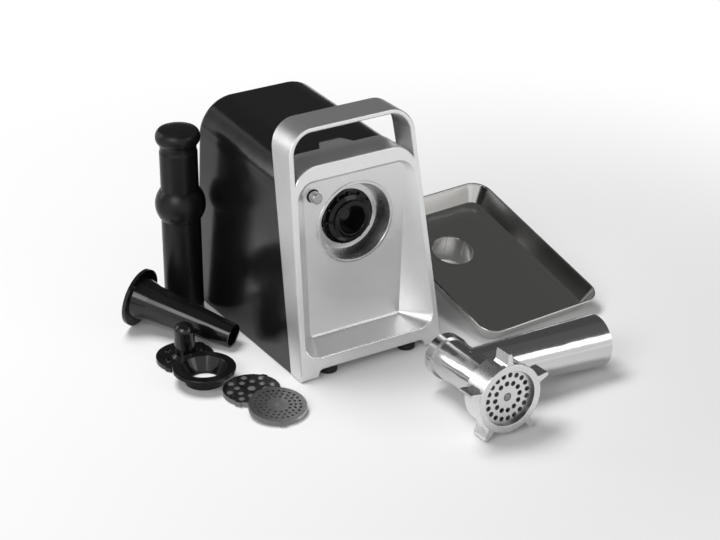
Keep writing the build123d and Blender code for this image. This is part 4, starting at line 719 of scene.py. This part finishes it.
share = math_step(table_tree, "MULTIPLY", seen_directly(table_tree), fade.outputs["Result"])
blend = table_tree.nodes.new("ShaderNodeMixShader")
table_tree.links.new(share, blend.inputs["Fac"])
table_tree.links.new(matt.outputs["BSDF"], blend.inputs[1])
table_tree.links.new(white.outputs["Emission"], blend.inputs[2])
table_output = table_tree.nodes.new("ShaderNodeOutputMaterial")
table_tree.links.new(blend.outputs["Shader"], table_output.inputs["Surface"])
table.data.materials.append(table_finish)
print("table on stage")

# %% White room
room_light = 0.21
room_white = 1.0
room = bpy.data.worlds.new("studio_room")
bpy.context.scene.world = room
room.use_nodes = True
room_tree = room.node_tree
room_tree.nodes.clear()
level = room_tree.nodes.new("ShaderNodeMapRange")
level.inputs["To Min"].default_value = room_light
level.inputs["To Max"].default_value = room_white
room_tree.links.new(seen_directly(room_tree), level.inputs["Value"])
glow = room_tree.nodes.new("ShaderNodeBackground")
room_tree.links.new(level.outputs["Result"], glow.inputs["Strength"])
room_output = room_tree.nodes.new("ShaderNodeOutputWorld")
room_tree.links.new(glow.outputs["Background"], room_output.inputs["Surface"])
print("room level", room_light, "for light and", room_white, "for the camera")

# %% [markdown]
# ## Dark cards
# Black plastic and polished metal are shaped by what they mirror. In the photograph the tops are dark
# because the studio behind and above is dark. A darker room would turn the background grey, so cards are put
# up instead: two dark ones behind and above, and two lighter ones at the left and right, which give the
# sides of the metal their grey. Two more lie flat on the table: the one at the front left darkens the right
# wall of the recess, the one at the back left the frame's left side. The cards show in reflections only: they
# take no light from the object and cast no shadow.


# %% A card that only mirrors see
def dark_card(name, centre, facing, width, height, shade):
    bpy.ops.mesh.primitive_plane_add(size=1)
    card = bpy.context.object
    card.name = name
    card.location = centre
    card.rotation_euler = (Vector(facing) - Vector(centre)).to_track_quat("Z", "Y").to_euler()
    card.scale = (width, height, 1)
    for ray in ("camera", "diffuse", "transmission", "volume_scatter", "shadow"):
        setattr(card, "visible_" + ray, False)
    finish = bpy.data.materials.new(name)
    finish.use_nodes = True
    tree = finish.node_tree
    tree.nodes.clear()
    dim = tree.nodes.new("ShaderNodeEmission")
    dim.inputs["Color"].default_value = (*grey(shade), 1)
    output = tree.nodes.new("ShaderNodeOutputMaterial")
    tree.links.new(dim.outputs["Emission"], output.inputs["Surface"])
    card.data.materials.append(finish)
    print(name, "shade", shade)


# %% Standing cards, the ceiling and the two flat ones
unit_middle = (0, 0, 0.1)
dark_card("back_card", (1.05, 1.75, 1.25), facing=unit_middle, width=4.2, height=2.6, shade=0.085)
dark_card("ceiling_card", (0, 0, 2.3), facing=(0, 0, 0), width=5.0, height=5.0, shade=0.115)
dark_card("left_card", (-1.75, 1.5, 0.8), facing=unit_middle, width=1.9, height=1.7, shade=0.36)
dark_card("right_card", (2.3, -0.1, 0.8), facing=unit_middle, width=2.8, height=1.6, shade=0.22)
flag_height = 0.0006
dark_card("table_flag", (-0.405, -0.14, flag_height), facing=(-0.405, -0.14, 1),
          width=0.51, height=0.4, shade=0.30)
dark_card("side_flag", (-0.75, 0.75, flag_height), facing=(-0.75, 0.75, 1),
          width=1.0, height=1.0, shade=0.62)

# %% [markdown]
# ## Soft lamps
# The shadows in the photograph fall to the front and right, so most of the light comes from a wide lamp
# above and behind. It is kept out of the reflections, because the tray would mirror it as a white band. A
# lamp at the front left lights the panel, a weaker one at the front right fills its shadows, and a narrow
# one at the back left draws a thin light edge on the black shell. All are areas, because a point or a sun
# would give hard shadows.


# %% Lamps
def soft_lamp(name, centre, aim, width, height, power):
    lamp = bpy.data.lights.new(name, "AREA")
    lamp.shape = "RECTANGLE"
    lamp.size = width
    lamp.size_y = height
    lamp.energy = power
    holder = in_scene(name, lamp)
    holder.location = centre
    holder.rotation_euler = (Vector(aim) - Vector(centre)).to_track_quat("-Z", "Y").to_euler()
    print(name, power, "W")
    return holder


lamp_aim = (0, 0, 0.08)
soft_lamp("key_lamp", (-1.55, -0.85, 1.3), lamp_aim, width=1.2, height=0.9, power=15)
soft_lamp("fill_lamp", (1.1, -1.8, 1.05), lamp_aim, width=1.0, height=0.7, power=4)
soft_lamp("edge_lamp", (-1.2, 1.35, 0.8), lamp_aim, width=0.25, height=1.0, power=2.8)
top_lamp = soft_lamp("top_lamp", (-0.35, 0.62, 1.7), aim=(0, 0, 0), width=1.1, height=0.7, power=29)
top_lamp.visible_glossy = False

# %% [markdown]
# ## Camera
# The camera was worked out from the photograph: it looks down at 26 degrees from the unit's left front,
# through a lens of 100 mm, and its height and distance put each piece on its own pixels. It could be turned
# by eye, but two angles, a distance and a point to look at can be read and changed one by one.

# %% Camera
azimuth = radians(-31.65)
elevation = radians(26.265)
looked_at = Vector((-0.01689, 0.03213, 0.07176))
distance = 1.93296
lens = bpy.data.cameras.new("photo_camera")
lens.lens = 100
lens.sensor_fit = "HORIZONTAL"
lens.sensor_width = 36
camera = in_scene("photo_camera", lens)
away = Vector((sin(azimuth) * cos(elevation), -cos(azimuth) * cos(elevation), sin(elevation)))
camera.location = looked_at + distance * away
camera.rotation_euler = (-away).to_track_quat("-Z", "Y").to_euler()
bpy.context.scene.camera = camera
bpy.context.scene.view_settings.view_transform = "Standard"
print("camera at", [round(v, 3) for v in camera.location])

# %% List the pieces without a finish
unfinished = [name for name in nodes if nodes[name].data.materials[0].name not in finishes]
print("nodes without a finish:", unfinished)
